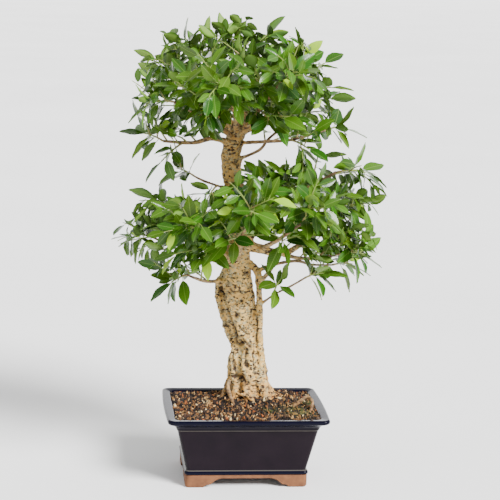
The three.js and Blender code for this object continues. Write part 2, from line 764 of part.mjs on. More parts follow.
// Leaves stand in a spiral on the shoot, wide near its base and closer at its tip. They
// turn their upper side to the light, and one that meets a neighbour swings round the shoot.
function leavesOf(shoot, taken, random) {
  const leaves = [];
  const own = [];
  const start = random() * 360;
  for (let k = 0; k < shoot.count; k++) {
    const share = shoot.bare + (1 - shoot.bare) * (0.1 + (0.9 * k) / (shoot.count - 1));
    const base = shoot.curve.getPoint(share);
    const stem = shoot.curve.getTangent(share);
    const side = stem.clone().cross(UP).normalize();
    const other = side.clone().cross(stem);
    const atTip = k === shoot.count - 1;
    const spread = radians(
      atTip ? SPREAD.tip : SPREAD.base - SPREAD.closing * k + SPREAD.vary * (random() - 0.5),
    );
    const size = SIZE.least + SIZE.vary * random();
    const slim = SLIMNESS.least + SLIMNESS.vary * random();
    const curl = CURL.least + CURL.vary * random();
    const lean = new THREE.Vector3(random() - 0.5, random() - 0.5, random() - 0.5);
    const outward = new THREE.Vector3(base.x, base.y - CROWN_MIDDLE_Y, 0).normalize();
    for (const swing of AZIMUTH_TRIES) {
      const turn = radians(start + k * LEAF_TURN + swing);
      const direction = stem.clone().multiplyScalar(Math.cos(spread))
        .addScaledVector(side, Math.sin(spread) * Math.cos(turn))
        .addScaledVector(other, Math.sin(spread) * Math.sin(turn));
      direction.z -= SAG;
      direction.normalize();
      const face = UP.clone().multiplyScalar(FACING.up).addScaledVector(outward, FACING.out)
        .addScaledVector(lean, FACING.lean);
      face.addScaledVector(direction, -face.dot(direction)).normalize();
      const length = LEAF_LENGTH * size;
      const leaf = { base, direction, face, length, width: LEAF_WIDTH * size * slim, curl };
      const samples = leafSamples(leaf);
      if (isClear(samples, taken, LEAF_CLEARANCE) && isClear(samples, own, OWN_CLEARANCE)) {
        leaves.push(leaf);
        own.push(...samples.map((point) => ({ point, scale: 1 })));
        break;
      }
    }
  }
  return { leaves, own };
}

function makeSprays() {
  const random = seeded(SEED);
  const wood = woodSamples();
  const stems = SHOOTS.map((shoot) => stretchOf(shoot.curve, 0.1, 1, 12));
  const placed = [];
  return SHOOTS.map((shoot, i) => {
    const otherStems = stems.flatMap((points, j) => (j === i ? [] : points));
    const taken = [
      ...wood, ...placed,
      ...otherStems.map((point) => ({ point, scale: (STEM_CLEARANCE / LEAF_CLEARANCE) ** 2 })),
    ];
    const { leaves, own } = leavesOf(shoot, taken, random);
    placed.push(...own);
    const points = stretchOf(shoot.curve, 0, 1, 3);
    const radii = [1.2, 1.05, 0.9, 0.7].map((share) => share * STEM_RADIUS);
    const end = shoot.curve.getTangent(1).multiplyScalar(BUD_LENGTH).add(points[3]);
    const whole = tube(points, radii, 3, { lastPoint: end });
    const stem = largest(whole.subtract(boughSolid(shoot.bough, SEAT_GAP)));
    return toMesh(joined([stem, ...leaves.map(leafSolid)]), shoot.name, MATERIALS.leaf);
  });
}

const bonsai = new THREE.Group();
bonsai.add(toMesh(makePot(), "pot", MATERIALS.glaze));
for (const [side, word] of [[-1, "left"], [1, "right"]]) {
  const sheet = toMesh(makeDrainMesh(), `drain_mesh_${word}`, MATERIALS.mesh);
  sheet.position.set(side * DRAIN_HOLE_X, 0, FLOOR_TOP_Z + SEAT_GAP);
  bonsai.add(sheet);
}
bonsai.add(toMesh(makeSoil(makeRootHole()), "soil", MATERIALS.soil));
bonsai.add(toMesh(makeWood(), "tree_wood", MATERIALS.bark));
const crown = new THREE.Group();
crown.add(...makeSprays());
bonsai.add(crown);

export default bonsai;
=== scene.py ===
"""Ficus bonsai in a glazed pot: a lobed trunk, two storeys of leaves and gritty soil.
The lists of places and sizes are in millimetres, the scene in metres, +Z up."""
import json
import math

import bmesh
import bpy
import numpy as np
from mathutils import Matrix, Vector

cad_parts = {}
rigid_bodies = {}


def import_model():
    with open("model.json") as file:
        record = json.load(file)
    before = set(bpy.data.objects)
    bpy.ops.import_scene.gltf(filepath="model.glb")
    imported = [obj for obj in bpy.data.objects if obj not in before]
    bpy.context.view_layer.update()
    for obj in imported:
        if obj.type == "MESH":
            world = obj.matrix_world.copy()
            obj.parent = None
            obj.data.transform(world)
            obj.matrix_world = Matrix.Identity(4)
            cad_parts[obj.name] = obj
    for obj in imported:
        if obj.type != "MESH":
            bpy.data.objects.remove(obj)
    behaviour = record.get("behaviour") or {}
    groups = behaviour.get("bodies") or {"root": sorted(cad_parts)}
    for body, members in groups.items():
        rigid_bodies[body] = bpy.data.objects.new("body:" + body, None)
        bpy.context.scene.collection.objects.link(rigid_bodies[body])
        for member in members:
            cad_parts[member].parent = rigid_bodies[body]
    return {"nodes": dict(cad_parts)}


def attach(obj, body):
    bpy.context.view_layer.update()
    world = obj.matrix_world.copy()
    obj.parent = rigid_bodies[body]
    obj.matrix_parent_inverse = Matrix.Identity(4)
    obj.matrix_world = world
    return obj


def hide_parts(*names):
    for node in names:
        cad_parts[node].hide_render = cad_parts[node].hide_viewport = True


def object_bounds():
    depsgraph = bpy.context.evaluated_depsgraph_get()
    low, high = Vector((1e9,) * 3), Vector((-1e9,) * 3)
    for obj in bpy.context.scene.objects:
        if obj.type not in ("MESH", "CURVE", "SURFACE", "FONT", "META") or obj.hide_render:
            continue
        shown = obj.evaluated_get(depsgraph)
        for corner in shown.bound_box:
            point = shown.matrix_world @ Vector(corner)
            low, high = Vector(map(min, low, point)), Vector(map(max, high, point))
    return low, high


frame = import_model()
CAD_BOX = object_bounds()

bl_info = {
    "name": "Ficus bonsai",
    "version": (1, 0, 0),
    "blender": (4, 5, 0),
    "location": "View3D > Sidebar > Bonsai",
    "description": "Dresses the packed frame of a ficus bonsai: pot, soil, wood and leaves",
    "category": "Object",
}

MM = 0.001
UP = np.array([0, 0, 1.0])

# Pot
POT_LENGTH = 304
POT_DEPTH = 230
POT_HEIGHT = 136.5
RIM_TOP_WIDTH = 16
RIM_BOW = 3.5
BODY_TOP_Z = 112
BODY_TOP_LENGTH = 260
BODY_TOP_DEPTH = 191
BODY_FOOT_LENGTH = 223
BODY_FOOT_DEPTH = 162
WALL = 10
FOOT_HEIGHT = 24
FOOT_LENGTH = 227
FOOT_DEPTH = 166
FOOT_WALL = 12
FLOOR_UNDERSIDE_Z = 19
FLOOR_TOP_Z = 28
ARCH_HEIGHT = 18
FRONT_ARCH_WIDTH = 160
SIDE_ARCH_WIDTH = 96
DRAIN_HOLE_RADIUS = 11
DRAIN_HOLE_X = 54
RIM_CORNER = 11
BODY_CORNER = 9
FOOT_CORNER = 8
INNER_CORNER = 6
BEAD_PROUD = 1.6
LIP_DEPTH = 3
FLOOR_FILLET = 5
MOST_OF_LEG = 0.45
SHARP_EDGE = 38
ARCH_PROFILE = [[0, -2], [0, 1], [6, 5.5], [13, 6.5], [24, 15], [34, ARCH_HEIGHT]]

# Heights where the glaze breaks thin in a pale line that is also a painted highlight, from
# where to where it pools, then how far the painted shade under the pot reaches along and across
GLAZE_BREAKS_AND_HIGHLIGHTS = [112.8, 32.2]
BREAK_AND_HIGHLIGHT_WIDTH = 0.8
GLAZE_POOLS = [(112, 124), (35, 31)]
UNDER_POT_SHADE_REACH = [110.5, 80]

# Soil
SOIL_EDGE_Z = 132
SOIL_MOUND = 15
MOUND_SPREAD = 55
SOIL_GRIT = 1.8
GRIT_SIZE = 11
SOIL_EDGE_INSET = 0.6
SEAT_GAP = 0.4
SOIL_RINGS = 36
SOIL_CORNER_STEPS = 5
SOIL_SIDE_STEPS = 27
GRAIN_CORNERS = 11
GRAIN_SEED = 4
GRAIN_VARY = [0.55, 1.35]
GRAIN_LIFT = [-3, 0.4]
GRAIN_TURN = 6.28

# Centre, reach and strength of each drift of moss: two at the right front, one at the right
MOSS_DRIFTS = [(100, -44, 26, 0.34), (46, -44, 13, 0.34), (124, 12, 14, 0.3)]

# Wood: centre x, y, z and radius
TRUNK = [
    [20, 42, 84, 16], [20, 44, 104, 26], [19, 46, 122, 36], [18, 47, 144, 39], [14, 48, 164, 36],
    [9, 48, 187, 34], [7, 48, 204, 33], [8, 48, 221, 29], [9, 48, 237, 25], [4, 46, 254, 23],
    [-2, 44, 275, 26], [-8, 43, 296, 29], [-12, 43, 318, 31], [-16, 45, 338, 31],
    [-18, 48, 359, 30], [-18, 51, 380, 27], [-16, 52, 402, 24], [-12, 55, 431, 22],
    [-1, 56, 459, 19], [4, 56, 483, 17.5], [-3, 54, 507, 16.5], [-17, 53, 532, 16.5],
    [-26, 52, 555, 17.5], [-30, 50, 583, 18], [-31, 50, 608, 17.5], [-25, 52, 630, 16],
    [-18, 53, 650, 13],
]
TRUNK_FOOT = TRUNK[2][:2]
AERIAL_STEM = [
    [34, 32, 176, 9], [33, 30, 214, 8], [31, 30, 243, 7], [29, 30, 272, 6.2],
    [29, 30, 300, 6.2], [27, 32, 324, 6.4], [26, 33, 345, 5.8], [25, 36, 366, 6],
    [22, 39, 383, 7.5], [11, 44, 395, 7], [-4, 50, 403, 6],
]
CLINGING_ROOT = [
    [-9, 44, 222, 6], [-21, 41, 246, 5.5], [-32, 42, 269, 5], [-41, 43, 296, 5],
    [-48, 44, 319, 5.5], [-51, 46, 340, 6], [-48, 48, 363, 6.5], [-34, 50, 384, 7],
]
LOOP_ROOT = [
    [30, 30, 128, 9], [64, 6, 122, 6], [86, -10, 130, 4.6], [104, -11, 144, 3.6],
    [119, -7, 152, 3.4], [127, -19, 147, 3.3], [124, -34, 138, 3], [119, -44, 126, 2.6],
]

# Compass angle from +X, reach and radius at the trunk of each buried root
ROOTS = [
    (-4, 92, 15), (26, 72, 13), (152, 64, 12), (182, 86, 12), (214, 96, 13), (262, 88, 10),
    (316, 96, 12),
]
ROOT_START = 14
ROOT_CREST_Z = 142
ROOT_SOIL_Z = 131
ROOT_END_Z = 104
ROOT_MIDDLE = {"along": 0.6, "girth": 0.7}
ROOT_TIP_GIRTH = 0.2

# Old aerial roots fused into the trunk's face, and small roots that show at its foot
FUSED_ROOTS = [
    [[32, 31, 232, 6], [31, 25, 212, 7], [30, 21, 190, 8], [33, 17, 168, 8], [40, 12, 150, 7],
     [48, 6, 136, 4]],
    [[-15, 42, 236, 6], [-18, 34, 214, 7.5], [-17, 27, 192, 8], [-15, 22, 170, 7],
     [-18, 15, 152, 6], [-22, 8, 138, 4]],
    [[4, 26, 236, 5], [1, 22, 212, 7], [3, 20, 186, 8], [5, 17, 164, 7], [5, 12, 148, 6],
     [5, 6, 134, 4]],
    [[-19, 50, 178, 7], [-26, 46, 162, 6.5], [-34, 41, 148, 5], [-42, 36, 134, 3]],
    [[-14, 20, 300, 6], [-8, 18, 276, 7], [2, 23, 252, 6], [10, 25, 232, 5]],
    [[4, 62, 284, 4], [8, 66, 256, 6], [13, 72, 228, 7], [16, 76, 202, 8], [20, 80, 172, 8],
     [26, 86, 146, 6], [30, 92, 130, 4]],
    [[24, 52, 262, 4], [31, 54, 236, 6], [36, 56, 212, 7], [40, 56, 190, 8], [46, 56, 164, 7],
     [58, 58, 146, 5], [70, 60, 132, 4]],
    [[-27, 18, 178, 3.6], [-30, 8, 168, 4], [-28, 0, 156, 4], [-23, -7, 144, 3.4],
     [-18, -12, 134, 2.4]],
    [[-13, 10, 154, 3], [-5, 6, 152.5, 3.4], [5, 3, 151, 3.4], [14, -2, 146, 3],
     [22, -8, 136, 2.4]],
    [[-12, 24, 360, 5], [-16, 19, 340, 5], [-14, 16, 318, 5], [-6, 17, 300, 4]],
    [[4, 28, 352, 5], [10, 28, 332, 5], [10, 26, 310, 5], [8, 26, 288, 4]],
    [[25, 33, 322, 3.4], [23, 34, 304, 4.6], [23, 34, 284, 5], [24, 33, 262, 5],
     [26, 32, 240, 5]],
]

# How the boughs blend into the trunk, and how the wood is drawn
COLLAR_REACH = 62
COLLAR_SWELL = 1.5
COLLAR_FADE = 12
COLLAR_OVERLAP = 12
ROUTE_STEP = 4
TRUNK_SIDES = 48
ROOT_SIDES = 14
BOUGH_SIDES = 12

# A place takes the girth of wood whose centre is within this many radii, and this much more
GIRTH_REACH = 1.3
GIRTH_MARGIN = 2
GIRTH_BATCH = 2000

# Bark: its corky cells, how far they are warped, the radii between which a twig's bark turns
# into the trunk's, and the heights from which to which it has more pores, a brown foot and a
# brown top
BARK_CELL = 3.9
BARK_WARP = 5
TWIG_BARK = (2.5, 7)
PORY_BARK = (270, 170)
BROWN_FOOT = (200, 140)
BROWN_TOP = (400, 520)

# Cuts into the bark on the side that the camera sees, which the bark also paints dark as shade:
# half width and depth in millimetres, then the points of the line in the photograph's pixels
CREASES = [
    (4.8, 10, [(220.6, 289), (222.4, 298), (225, 308), (228.8, 320), (232.6, 329.5),
               (236, 337)]),
    (3.6, 5, [(232.5, 331), (234.4, 338), (236.5, 344), (240, 344.5)]),
    (2.2, 3, [(231, 290), (236, 291.6), (241.5, 290.6)]),
    (3.6, 5, [(240, 345), (243.5, 342.8), (247, 344), (251.5, 347)]),
    (3.2, 6, [(246.6, 351), (246, 358), (246.8, 366)]),
    (2.8, 3.5, [(235.5, 362), (237, 371), (241, 378)]),
    (5.0, 5, [(238, 376), (242, 379.5), (245, 384)]),
    (1.6, 3, [(255.4, 318), (256, 327), (255.2, 336), (255.4, 344)]),
    (1.8, 3.5, [(255, 347), (254.4, 358), (255.6, 370)]),
    (1.6, 3, [(232, 352), (231.4, 360), (234, 368)]),
    (4.0, 6, [(234.6, 318), (236.6, 316)]),
    (1.8, 4, [(242.4, 301), (243.4, 301.4)]),
    (1.6, 3, [(239, 327), (243.6, 330), (246.4, 333.6)]),
    (1.8, 3, [(231, 163), (238, 165.4), (244, 163.6)]),
    (1.6, 3, [(233, 184), (238, 182.6)]),
]

# Boughs: name, radius at each end, route, and for each spray how far along the bough it
# leaves and where its tip is
BOUGHS = [
    ("right_leader", (8, 3.2),
     [[-20, 52, 640], [20, 26, 670], [40, 16, 682], [58, 6, 706], [88, -6, 762]],
     [[1, 82, -5, 800], [0.85, 126, 10, 776], [0.66, 132, -30, 738]]),
    ("left_leader", (8, 3),
     [[-20, 53, 636], [-54, 74, 694], [-70, 84, 726], [-86, 90, 760]],
     [[1, -122, 82, 802], [0.8, -76, 108, 806], [0.6, -170, 72, 774], [0.4, -92, -20, 775]]),
    ("centre_leader", (7.5, 3),
     [[-20, 53, 636], [-10, 70, 686], [-12, 86, 734], [-20, 100, 794]],
     [[1, -40, 82, 818], [0.8, 28, 96, 818], [0.5, -28, -15, 800]]),
    ("low_left_arm", (6, 2.5),
     [[-28, 51, 622], [-66, 38, 634], [-106, 32, 626], [-160, 34, 628]],
     [[1, -188, 38, 640], [0.72, -160, 8, 598]]),
    ("front_left_arm", (6, 2.5),
     [[-24, 50, 630], [-66, 4, 664], [-108, -26, 688], [-146, -44, 708]],
     [[1, -184, -40, 706], [0.6, -138, -68, 742]]),
    ("front_arm", (6.5, 2.5),
     [[-22, 50, 634], [-32, -12, 682], [-44, -62, 712], [-56, -100, 732]],
     [[1, -75, -153, 754], [0.55, -98, -102, 706]]),
    ("back_arm", (6.5, 2.5),
     [[-20, 54, 634], [-2, 94, 678], [8, 122, 704], [14, 142, 726]],
     [[1, 40, 156, 764], [0.6, 86, 140, 700]]),
    ("front_right_arm", (6, 2.5),
     [[-20, 50, 636], [8, -14, 690], [24, -58, 724], [38, -92, 748]],
     [[1, 58, -130, 772], [0.65, -8, -104, 772], [0.4, 42, -80, 688]]),
    ("back_left_arm", (6, 2.5),
     [[-24, 54, 632], [-62, 100, 680], [-90, 128, 702], [-112, 146, 718]],
     [[1, -150, 152, 738], [0.6, -82, 154, 656]]),
    ("low_right_arm", (4, 1.8),
     [[-26, 52, 624], [36, 22, 632], [76, 6, 638], [136, -6, 658]],
     [[1, 160, -5, 664], [0.6, 98, -26, 628]]),
    ("back_right_arm", (3.5, 2),
     [[-30, 50, 590], [20, 60, 610], [46, 74, 636], [112, 102, 682]],
     [[1, 150, 95, 706]]),
    ("knobby_bough", (10, 3),
     [[-10, 54, 434], [30, 36, 426], [56, 28, 422], [80, 22, 426], [104, 22, 442],
      [158, 26, 482]],
     [[1, 198, 12, 520], [0.78, 126, -54, 532]]),
    ("shoulder_bough", (7, 2.5),
     [[0, 55, 456], [30, 32, 490], [62, 22, 516], [98, 18, 540], [162, 24, 576]],
     [[1, 208, 6, 580], [0.75, 132, 50, 606], [0.5, 62, -34, 582], [0.3, 12, -44, 556]]),
    ("long_right_bough", (4.5, 2),
     [[58, 24, 422], [98, 6, 416], [136, -6, 420], [180, -17, 432]],
     [[1, 206, -22, 432], [0.6, 180, -32, 474]]),
    ("low_right_bough", (4, 1.6),
     [[20, 40, 384], [58, 48, 396], [98, 54, 401], [128, 56, 394], [166, 54, 394]],
     [[1, 198, 50, 398]]),
    ("low_twig", (2.6, 1.6),
     [[27, 32, 320], [56, 16, 346], [84, -2, 366], [104, -14, 382]],
     [[1, 130, -24, 394], [0.3, 58, -8, 374]]),
    ("left_bough", (5.5, 2),
     [[-20, 52, 386], [-74, 46, 410], [-108, 64, 422], [-160, 98, 430]],
     [[1, -200, 108, 440], [0.55, -142, 82, 462]]),
    ("upper_left_bough", (5.5, 2.2),
     [[-14, 54, 418], [-64, 50, 448], [-94, 50, 468], [-140, 58, 498]],
     [[1, -164, 62, 512], [0.6, -122, 0, 516]]),
    ("low_left_bough", (4, 2),
     [[-24, 49, 364], [-72, 28, 366], [-94, 16, 374], [-112, 10, 382]],
     [[1, -136, 0, 374]]),
    ("front_bough", (6, 2.4),
     [[-16, 50, 392], [-18, -28, 444], [-18, -78, 480], [-12, -118, 504]],
     [[1, -15, -163, 540], [0.6, -48, -114, 472]]),
    ("back_bough", (6, 2.4),
     [[-8, 55, 440], [24, 98, 468], [38, 124, 486], [44, 144, 500]],
     [[1, 56, 160, 526]]),
    ("thin_left_bough", (3, 1.6),
     [[-20, 53, 532], [-62, 50, 546], [-84, 46, 554], [-100, 44, 562]],
     [[1, -128, 40, 576], [0.45, -76, 10, 528]]),
    ("front_left_bough", (5.5, 2.2),
     [[-18, 50, 392], [-62, -18, 438], [-84, -60, 464], [-100, -86, 480]],
     [[1, -122, -116, 498], [0.55, -88, -94, 440]]),
    ("front_right_bough", (5, 2.2),
     [[26, 37, 427], [52, -24, 456], [70, -72, 484], [84, -102, 500]],
     [[1, 92, -136, 536], [0.55, 48, -108, 466]]),
    ("back_left_bough", (5.5, 2.2),
     [[-16, 54, 408], [-56, 102, 430], [-80, 130, 444], [-96, 148, 452]],
     [[1, -118, 162, 470]]),
    ("back_right_bough", (4.5, 2.2),
     [[80, 22, 426], [114, 70, 438], [140, 98, 454], [162, 116, 466]],
     [[1, 186, 132, 496]]),
    ("strut", (4, 4),
     [[25, 36, 360], [42, 32, 382], [54, 28, 406], [60, 27, 422]],
     []),
]

# Leaves
LEAF_LENGTH = 54
LEAF_WIDTH = 24
LEAF_THICKNESS = 0.6
LEAVES_AT_END = 8
LEAVES_AT_SIDE = 6
STEM_RADIUS = 1.7
BUD_LENGTH = 9
BARE_AT_END = 0.2
BARE_AT_SIDE = 0.38
SHOOT_ARCH = 0.1
SEED = 20
LEAF_TURN = 137.5
SPREAD = {"base": 74, "closing": 4, "vary": 14, "tip": 12}
SAG = 0.12
FACING = {"up": 0.65, "out": 0.7, "lean": 0.8}
CROWN_MIDDLE_Y = 20
LEAF_CLEARANCE = 9
OWN_CLEARANCE = 5
WOOD_CLEARANCE = 5
STEM_CLEARANCE = 6
LOBE_ROOM = 1.12
SAMPLE_STEP = 7
SWINGS = [0, 35, -35, 70, -70, 110, -110, 150]
CURLS = [0.05, 0.09, 0.13, 0.17, 0.21]
FOLDS = [0.1, 0.28]
PETIOLE_SHARE = 0.14
BLADE_ROWS = [0.02, 0.08, 0.2, 0.38, 0.58, 0.76, 0.88, 0.95, 0.985]
VEIN_SLANT = -0.32
VEIN_PACE = 78

# Draws for the frame's own leaves: the least value and what is drawn on top of it
LEAF_SIZE = (0.86, 0.28)
LEAF_SLIM = (0.92, 0.2)
LEAF_CURL = (0.04, 0.16)

# Side twigs: where they leave a shoot or a bough, their length and the way they grow
SHOOT_TWIGS = (0.22, 0.86)
BOUGH_TWIGS = (0.42, 0.94, 5)
TWIG_LENGTH = (34, 62)
TWIG_WAY = {"along": 0.55, "across": 0.9, "over": 0.6, "up": 0.25}
TWIG_ARCH = 5
TWIG_CROOK = 4
TWIG_BARE = 0.25
TWIG_CLEARANCE = 2.5
SHOOT_CLEARANCE = 4
SHOOT_STEPS = 12

# Leaves that are added on side twigs: least and most of each draw, then how they hang and face
TWIG_LEAF = {"spread": (48, 80), "size": (0.48, 0.94), "slim": (0.88, 1.12),
             "curl": (0.04, 0.22), "sag": (0.08, 0.65)}
TWIG_LEAF_CLOSING = 4
TWIG_LEAF_TIP = 14
TWIG_FACING = {"up": 0.45, "out": 0.85, "lean": 0.55}
EXTRA_CLEARANCE = 4.0

# A leaf scar's swelling beside the bare stem, and the rows of a bud: how far out and how stout
KNUCKLES = (0.96, 1.14)
BUD_ROWS = [(1.6, 0.95), (4.0, 1.15), (6.6, 0.7), (BUD_LENGTH, 0.12)]
BUD_YOUTH = 1.15

# Spots on a leaf by which it is kept clear: share of its length, and of its width across
LEAF_SPOTS = [
    (0.28, 0), (0.45, 0), (0.62, 0), (0.8, 0), (1, 0), (0.36, 0.34), (0.36, -0.34),
    (0.55, 0.42), (0.55, -0.42), (0.76, 0.32), (0.76, -0.32), (0.9, 0.16), (0.9, -0.16),
]
SPOT_SHARES = np.array([share for share, _ in LEAF_SPOTS])[:, None]
SPOT_ACROSS = np.array([across for _, across in LEAF_SPOTS])[:, None]

# The crown's outline in the photograph's pixels, which the added leaves stay inside
CROWN_OUTLINE = [
    (128, 98), (130, 76), (146, 50), (158, 46), (160, 24), (184, 30), (204, 18), (222, 12),
    (250, 14), (272, 20), (292, 28), (308, 38), (316, 56), (330, 66), (326, 92), (342, 100),
    (334, 122), (352, 122), (352, 130), (330, 140), (290, 138), (252, 136), (248, 160),
    (276, 160), (324, 158), (345, 156), (368, 166), (392, 178), (388, 206), (376, 226),
    (378, 256), (348, 264), (330, 264), (306, 262), (300, 246), (284, 236), (224, 240),
    (212, 262), (200, 276), (180, 282), (158, 278), (128, 260), (112, 234), (134, 200),
    (156, 194), (196, 194), (224, 186), (224, 146), (196, 140), (150, 136), (132, 118),
]
PHOTO_SIZE = 500
CREASE_AIM = 1.2
CREASE_STEP = 0.7
BOX_MARGIN = 8

# Camera: where it stands, which way it looks and its field, from the pot's corners
CAMERA_PLACE = (-320.4, -2929.1, 994.1)
CAMERA_YAW = 6.3
CAMERA_PITCH = 10.8
CAMERA_ROLL = 1.7
SENSOR_WIDTH = 36.0
LENS = 116.64

# Lights, in degrees and metres: the key's softness and turn, and the panel behind the tree
KEY_SOFTNESS = 24
KEY_TURN = (52, 0, 42)
PANEL_SIZE = (50, 12)
PANEL_PLACE = (4.4, 40, 8)
PANEL_TILT = -80
VIEW_DEPTH = 200


def linear(code):
    """Linear red, green and blue from an sRGB hex value."""
    parts = [int(code[i:i + 2], 16) / 255 for i in (1, 3, 5)]
    return tuple(c / 12.92 if c <= 0.04045 else ((c + 0.055) / 1.055) ** 2.4 for c in parts)


def opaque(colour):
    """The four numbers of a colour socket."""
    return (*colour[:3], 1.0)


def socket_of(sockets, key):
    """A socket by number, identifier or name."""
    if isinstance(key, int):
        return sockets[key]
    for socket in sockets:
        if socket.identifier == key:
            return socket
    return sockets[key]


def connect(tree, node, inputs):
    """Gives a node's inputs their values or links."""
    for key, value in inputs.items():
        socket = socket_of(node.inputs, key)
        if isinstance(value, bpy.types.NodeSocket):
            tree.links.new(value, socket)
        else:
            socket.default_value = value


def add(tree, kind, inputs=None, stops=(), **settings):
    """Adds a node with its settings, its rising colour stops, and its inputs."""
    made = tree.nodes.new(kind)
    for key, value in settings.items():
        setattr(made, key, value)
    for index, (place, colour) in enumerate(stops):
        if index > 1:
            made.color_ramp.elements.new(place)
        made.color_ramp.elements[index].position = place
        made.color_ramp.elements[index].color = opaque(linear(colour))
    connect(tree, made, inputs or {})
    return made


def new_material(name):
    """A new material, its tree and shader, and the place on the piece that it colours."""
    material = bpy.data.materials.new(name)
    material.use_nodes = True
    tree = material.node_tree
    tree.nodes.clear()
    shader = add(tree, "ShaderNodeBsdfPrincipled")
    add(tree, "ShaderNodeOutputMaterial", {"Surface": shader.outputs[0]})
    place = add(tree, "ShaderNodeTexCoord").outputs["Object"]
    return material, tree, shader, place


def per_mm(size):
    """Texture scale for a grain of that many millimetres."""
    return 1 / (size * MM)


def glazed_stoneware(settings):
    """High-fired gloss glaze: near-black blue pooled in hollows, thin and brown on edges, where
    the pale line is also a painted highlight.
    """
    material, tree, shader, place = new_material("glazed_stoneware")
    clouds = add(tree, "ShaderNodeTexNoise",
                 {"Vector": place, "Scale": per_mm(38), "Detail": 3.0})
    tone = add(tree, "ShaderNodeValToRGB", {"Fac": clouds.outputs["Fac"]},
               stops=[(0.3, "#100910"), (0.7, "#160E15")])
    height = add(tree, "ShaderNodeSeparateXYZ", {"Vector": place}).outputs["Z"]
    rim, bead = [add(tree, "ShaderNodeMapRange",
                     {"Value": height, "From Min": start * MM, "From Max": full * MM}).outputs[0]
                 for start, full in GLAZE_POOLS]
    pooled = add(tree, "ShaderNodeMath", {0: rim, 1: bead}, operation="MAXIMUM").outputs[0]
    blue = add(tree, "ShaderNodeMix",
               {"Factor_Float": pooled, "A_Color": tone.outputs[0],
                "B_Color": opaque(settings.pooled_glaze)}, data_type="RGBA")
    # Painted highlight: a thin pale line at each of these heights, where the glaze also breaks
    # thin on the edge
    upper, lower = [add(tree, "ShaderNodeMath",
                        {0: height, 1: edge * MM, 2: BREAK_AND_HIGHLIGHT_WIDTH * MM},
                        operation="COMPARE").outputs[0] for edge in GLAZE_BREAKS_AND_HIGHLIGHTS]
    edges = add(tree, "ShaderNodeMath", {0: upper, 1: lower}, operation="MAXIMUM").outputs[0]
    thin = add(tree, "ShaderNodeMath", {0: edges, 1: 0.4}, operation="MULTIPLY").outputs[0]
    thinned_and_highlit = add(tree, "ShaderNodeMix",
                 {"Factor_Float": thin, "A_Color": blue.outputs[2],
                  "B_Color": opaque(linear("#6E695F"))}, data_type="RGBA")
    peel = add(tree, "ShaderNodeTexNoise",
               {"Vector": place, "Scale": per_mm(7), "Detail": 2.0})
    bump = add(tree, "ShaderNodeBump",
               {"Height": peel.outputs["Fac"], "Strength": 0.12, "Distance": 0.0006})
    specks = add(tree, "ShaderNodeTexNoise",
                 {"Vector": place, "Scale": per_mm(16), "Detail": 4.0})
    rough = add(tree, "ShaderNodeMapRange",
                {"Value": specks.outputs["Fac"], "To Min": 0.07, "To Max": 0.16})
    connect(tree, shader, {"Base Color": thinned_and_highlit.outputs[2], "Roughness": rough.outputs[0],
                           "Normal": bump.outputs[0], "IOR": 1.5, "Specular IOR Level": 0.1})
    return material


def bare_terracotta():
    """Unglazed fired clay: matt, pink-brown, sandy, with painted shade dark under the pot."""
    material, tree, shader, place = new_material("bare_terracotta")
    clouds = add(tree, "ShaderNodeTexNoise",
                 {"Vector": place, "Scale": per_mm(14), "Detail": 5.0})
    tone = add(tree, "ShaderNodeValToRGB", {"Fac": clouds.outputs["Fac"]},
               stops=[(0.3, "#5A351B"), (0.7, "#784B2A")])
    axes = add(tree, "ShaderNodeSeparateXYZ", {"Vector": place})
    # Painted shade: within this reach of the middle, under the pot, the clay is mixed dark brown
    # as the shade in its recess
    along, across = [add(tree, "ShaderNodeMath",
                         {0: axes.outputs[axis], 1: 0.0, 2: reach * MM},
                         operation="COMPARE").outputs[0]
                     for axis, reach in zip("XY", UNDER_POT_SHADE_REACH)]
    under_pot_shade = add(tree, "ShaderNodeMath", {0: along, 1: across}, operation="MULTIPLY")
    retinted = add(tree, "ShaderNodeMix",
                  {"Factor_Float": under_pot_shade.outputs[0], "A_Color": tone.outputs[0],
                   "B_Color": opaque(linear("#38261A"))}, data_type="RGBA")
    sand = add(tree, "ShaderNodeTexNoise",
               {"Vector": place, "Scale": per_mm(1.6), "Detail": 3.0})
    bump = add(tree, "ShaderNodeBump",
               {"Height": sand.outputs["Fac"], "Strength": 0.3, "Distance": 0.0005})
    connect(tree, shader, {"Base Color": retinted.outputs[2], "Normal": bump.outputs[0],
                           "Roughness": 0.85})
    return material


def potting_grit(settings):
    """Crushed pumice, bark and baked clay: dry, matt, each granule its own colour."""
    material, tree, shader, place = new_material("potting_grit")
    tint = add(tree, "ShaderNodeAttribute", attribute_name="tint").outputs["Fac"]
    grains = add(tree, "ShaderNodeValToRGB", {"Fac": tint},
                 stops=[(0.0, "#160A03"), (0.2, "#3A210E"), (0.36, "#7C542E"),
                        (0.5, "#1E0F05"), (0.64, "#BC945E"), (0.72, "#564232"),
                        (0.82, "#80582F"), (0.94, "#9A5424"), (0.96, "#D2B888")])
    grains.color_ramp.interpolation = "CONSTANT"
    clouds = add(tree, "ShaderNodeTexNoise",
                 {"Vector": place, "Scale": per_mm(3), "Detail": 4.0})
    stain = add(tree, "ShaderNodeMapRange",
                {"Value": clouds.outputs["Fac"], "From Min": 0.35, "From Max": 0.7,
                 "To Min": 0.55, "To Max": 1.15}).outputs[0]
    retinted = add(tree, "ShaderNodeVectorMath",
                  {0: grains.outputs[0], "Scale": stain}, operation="SCALE").outputs[0]
    moss = add(tree, "ShaderNodeAttribute", attribute_name="moss").outputs["Fac"]
    green = add(tree, "ShaderNodeMix",
                {"Factor_Float": moss, "A_Color": retinted,
                 "B_Color": opaque(settings.moss)}, data_type="RGBA")
    bump = add(tree, "ShaderNodeBump",
               {"Height": clouds.outputs["Fac"], "Strength": 0.5, "Distance": 0.0006})
    connect(tree, shader, {"Base Color": green.outputs[2], "Normal": bump.outputs[0],
                           "Roughness": 0.95})
    return material


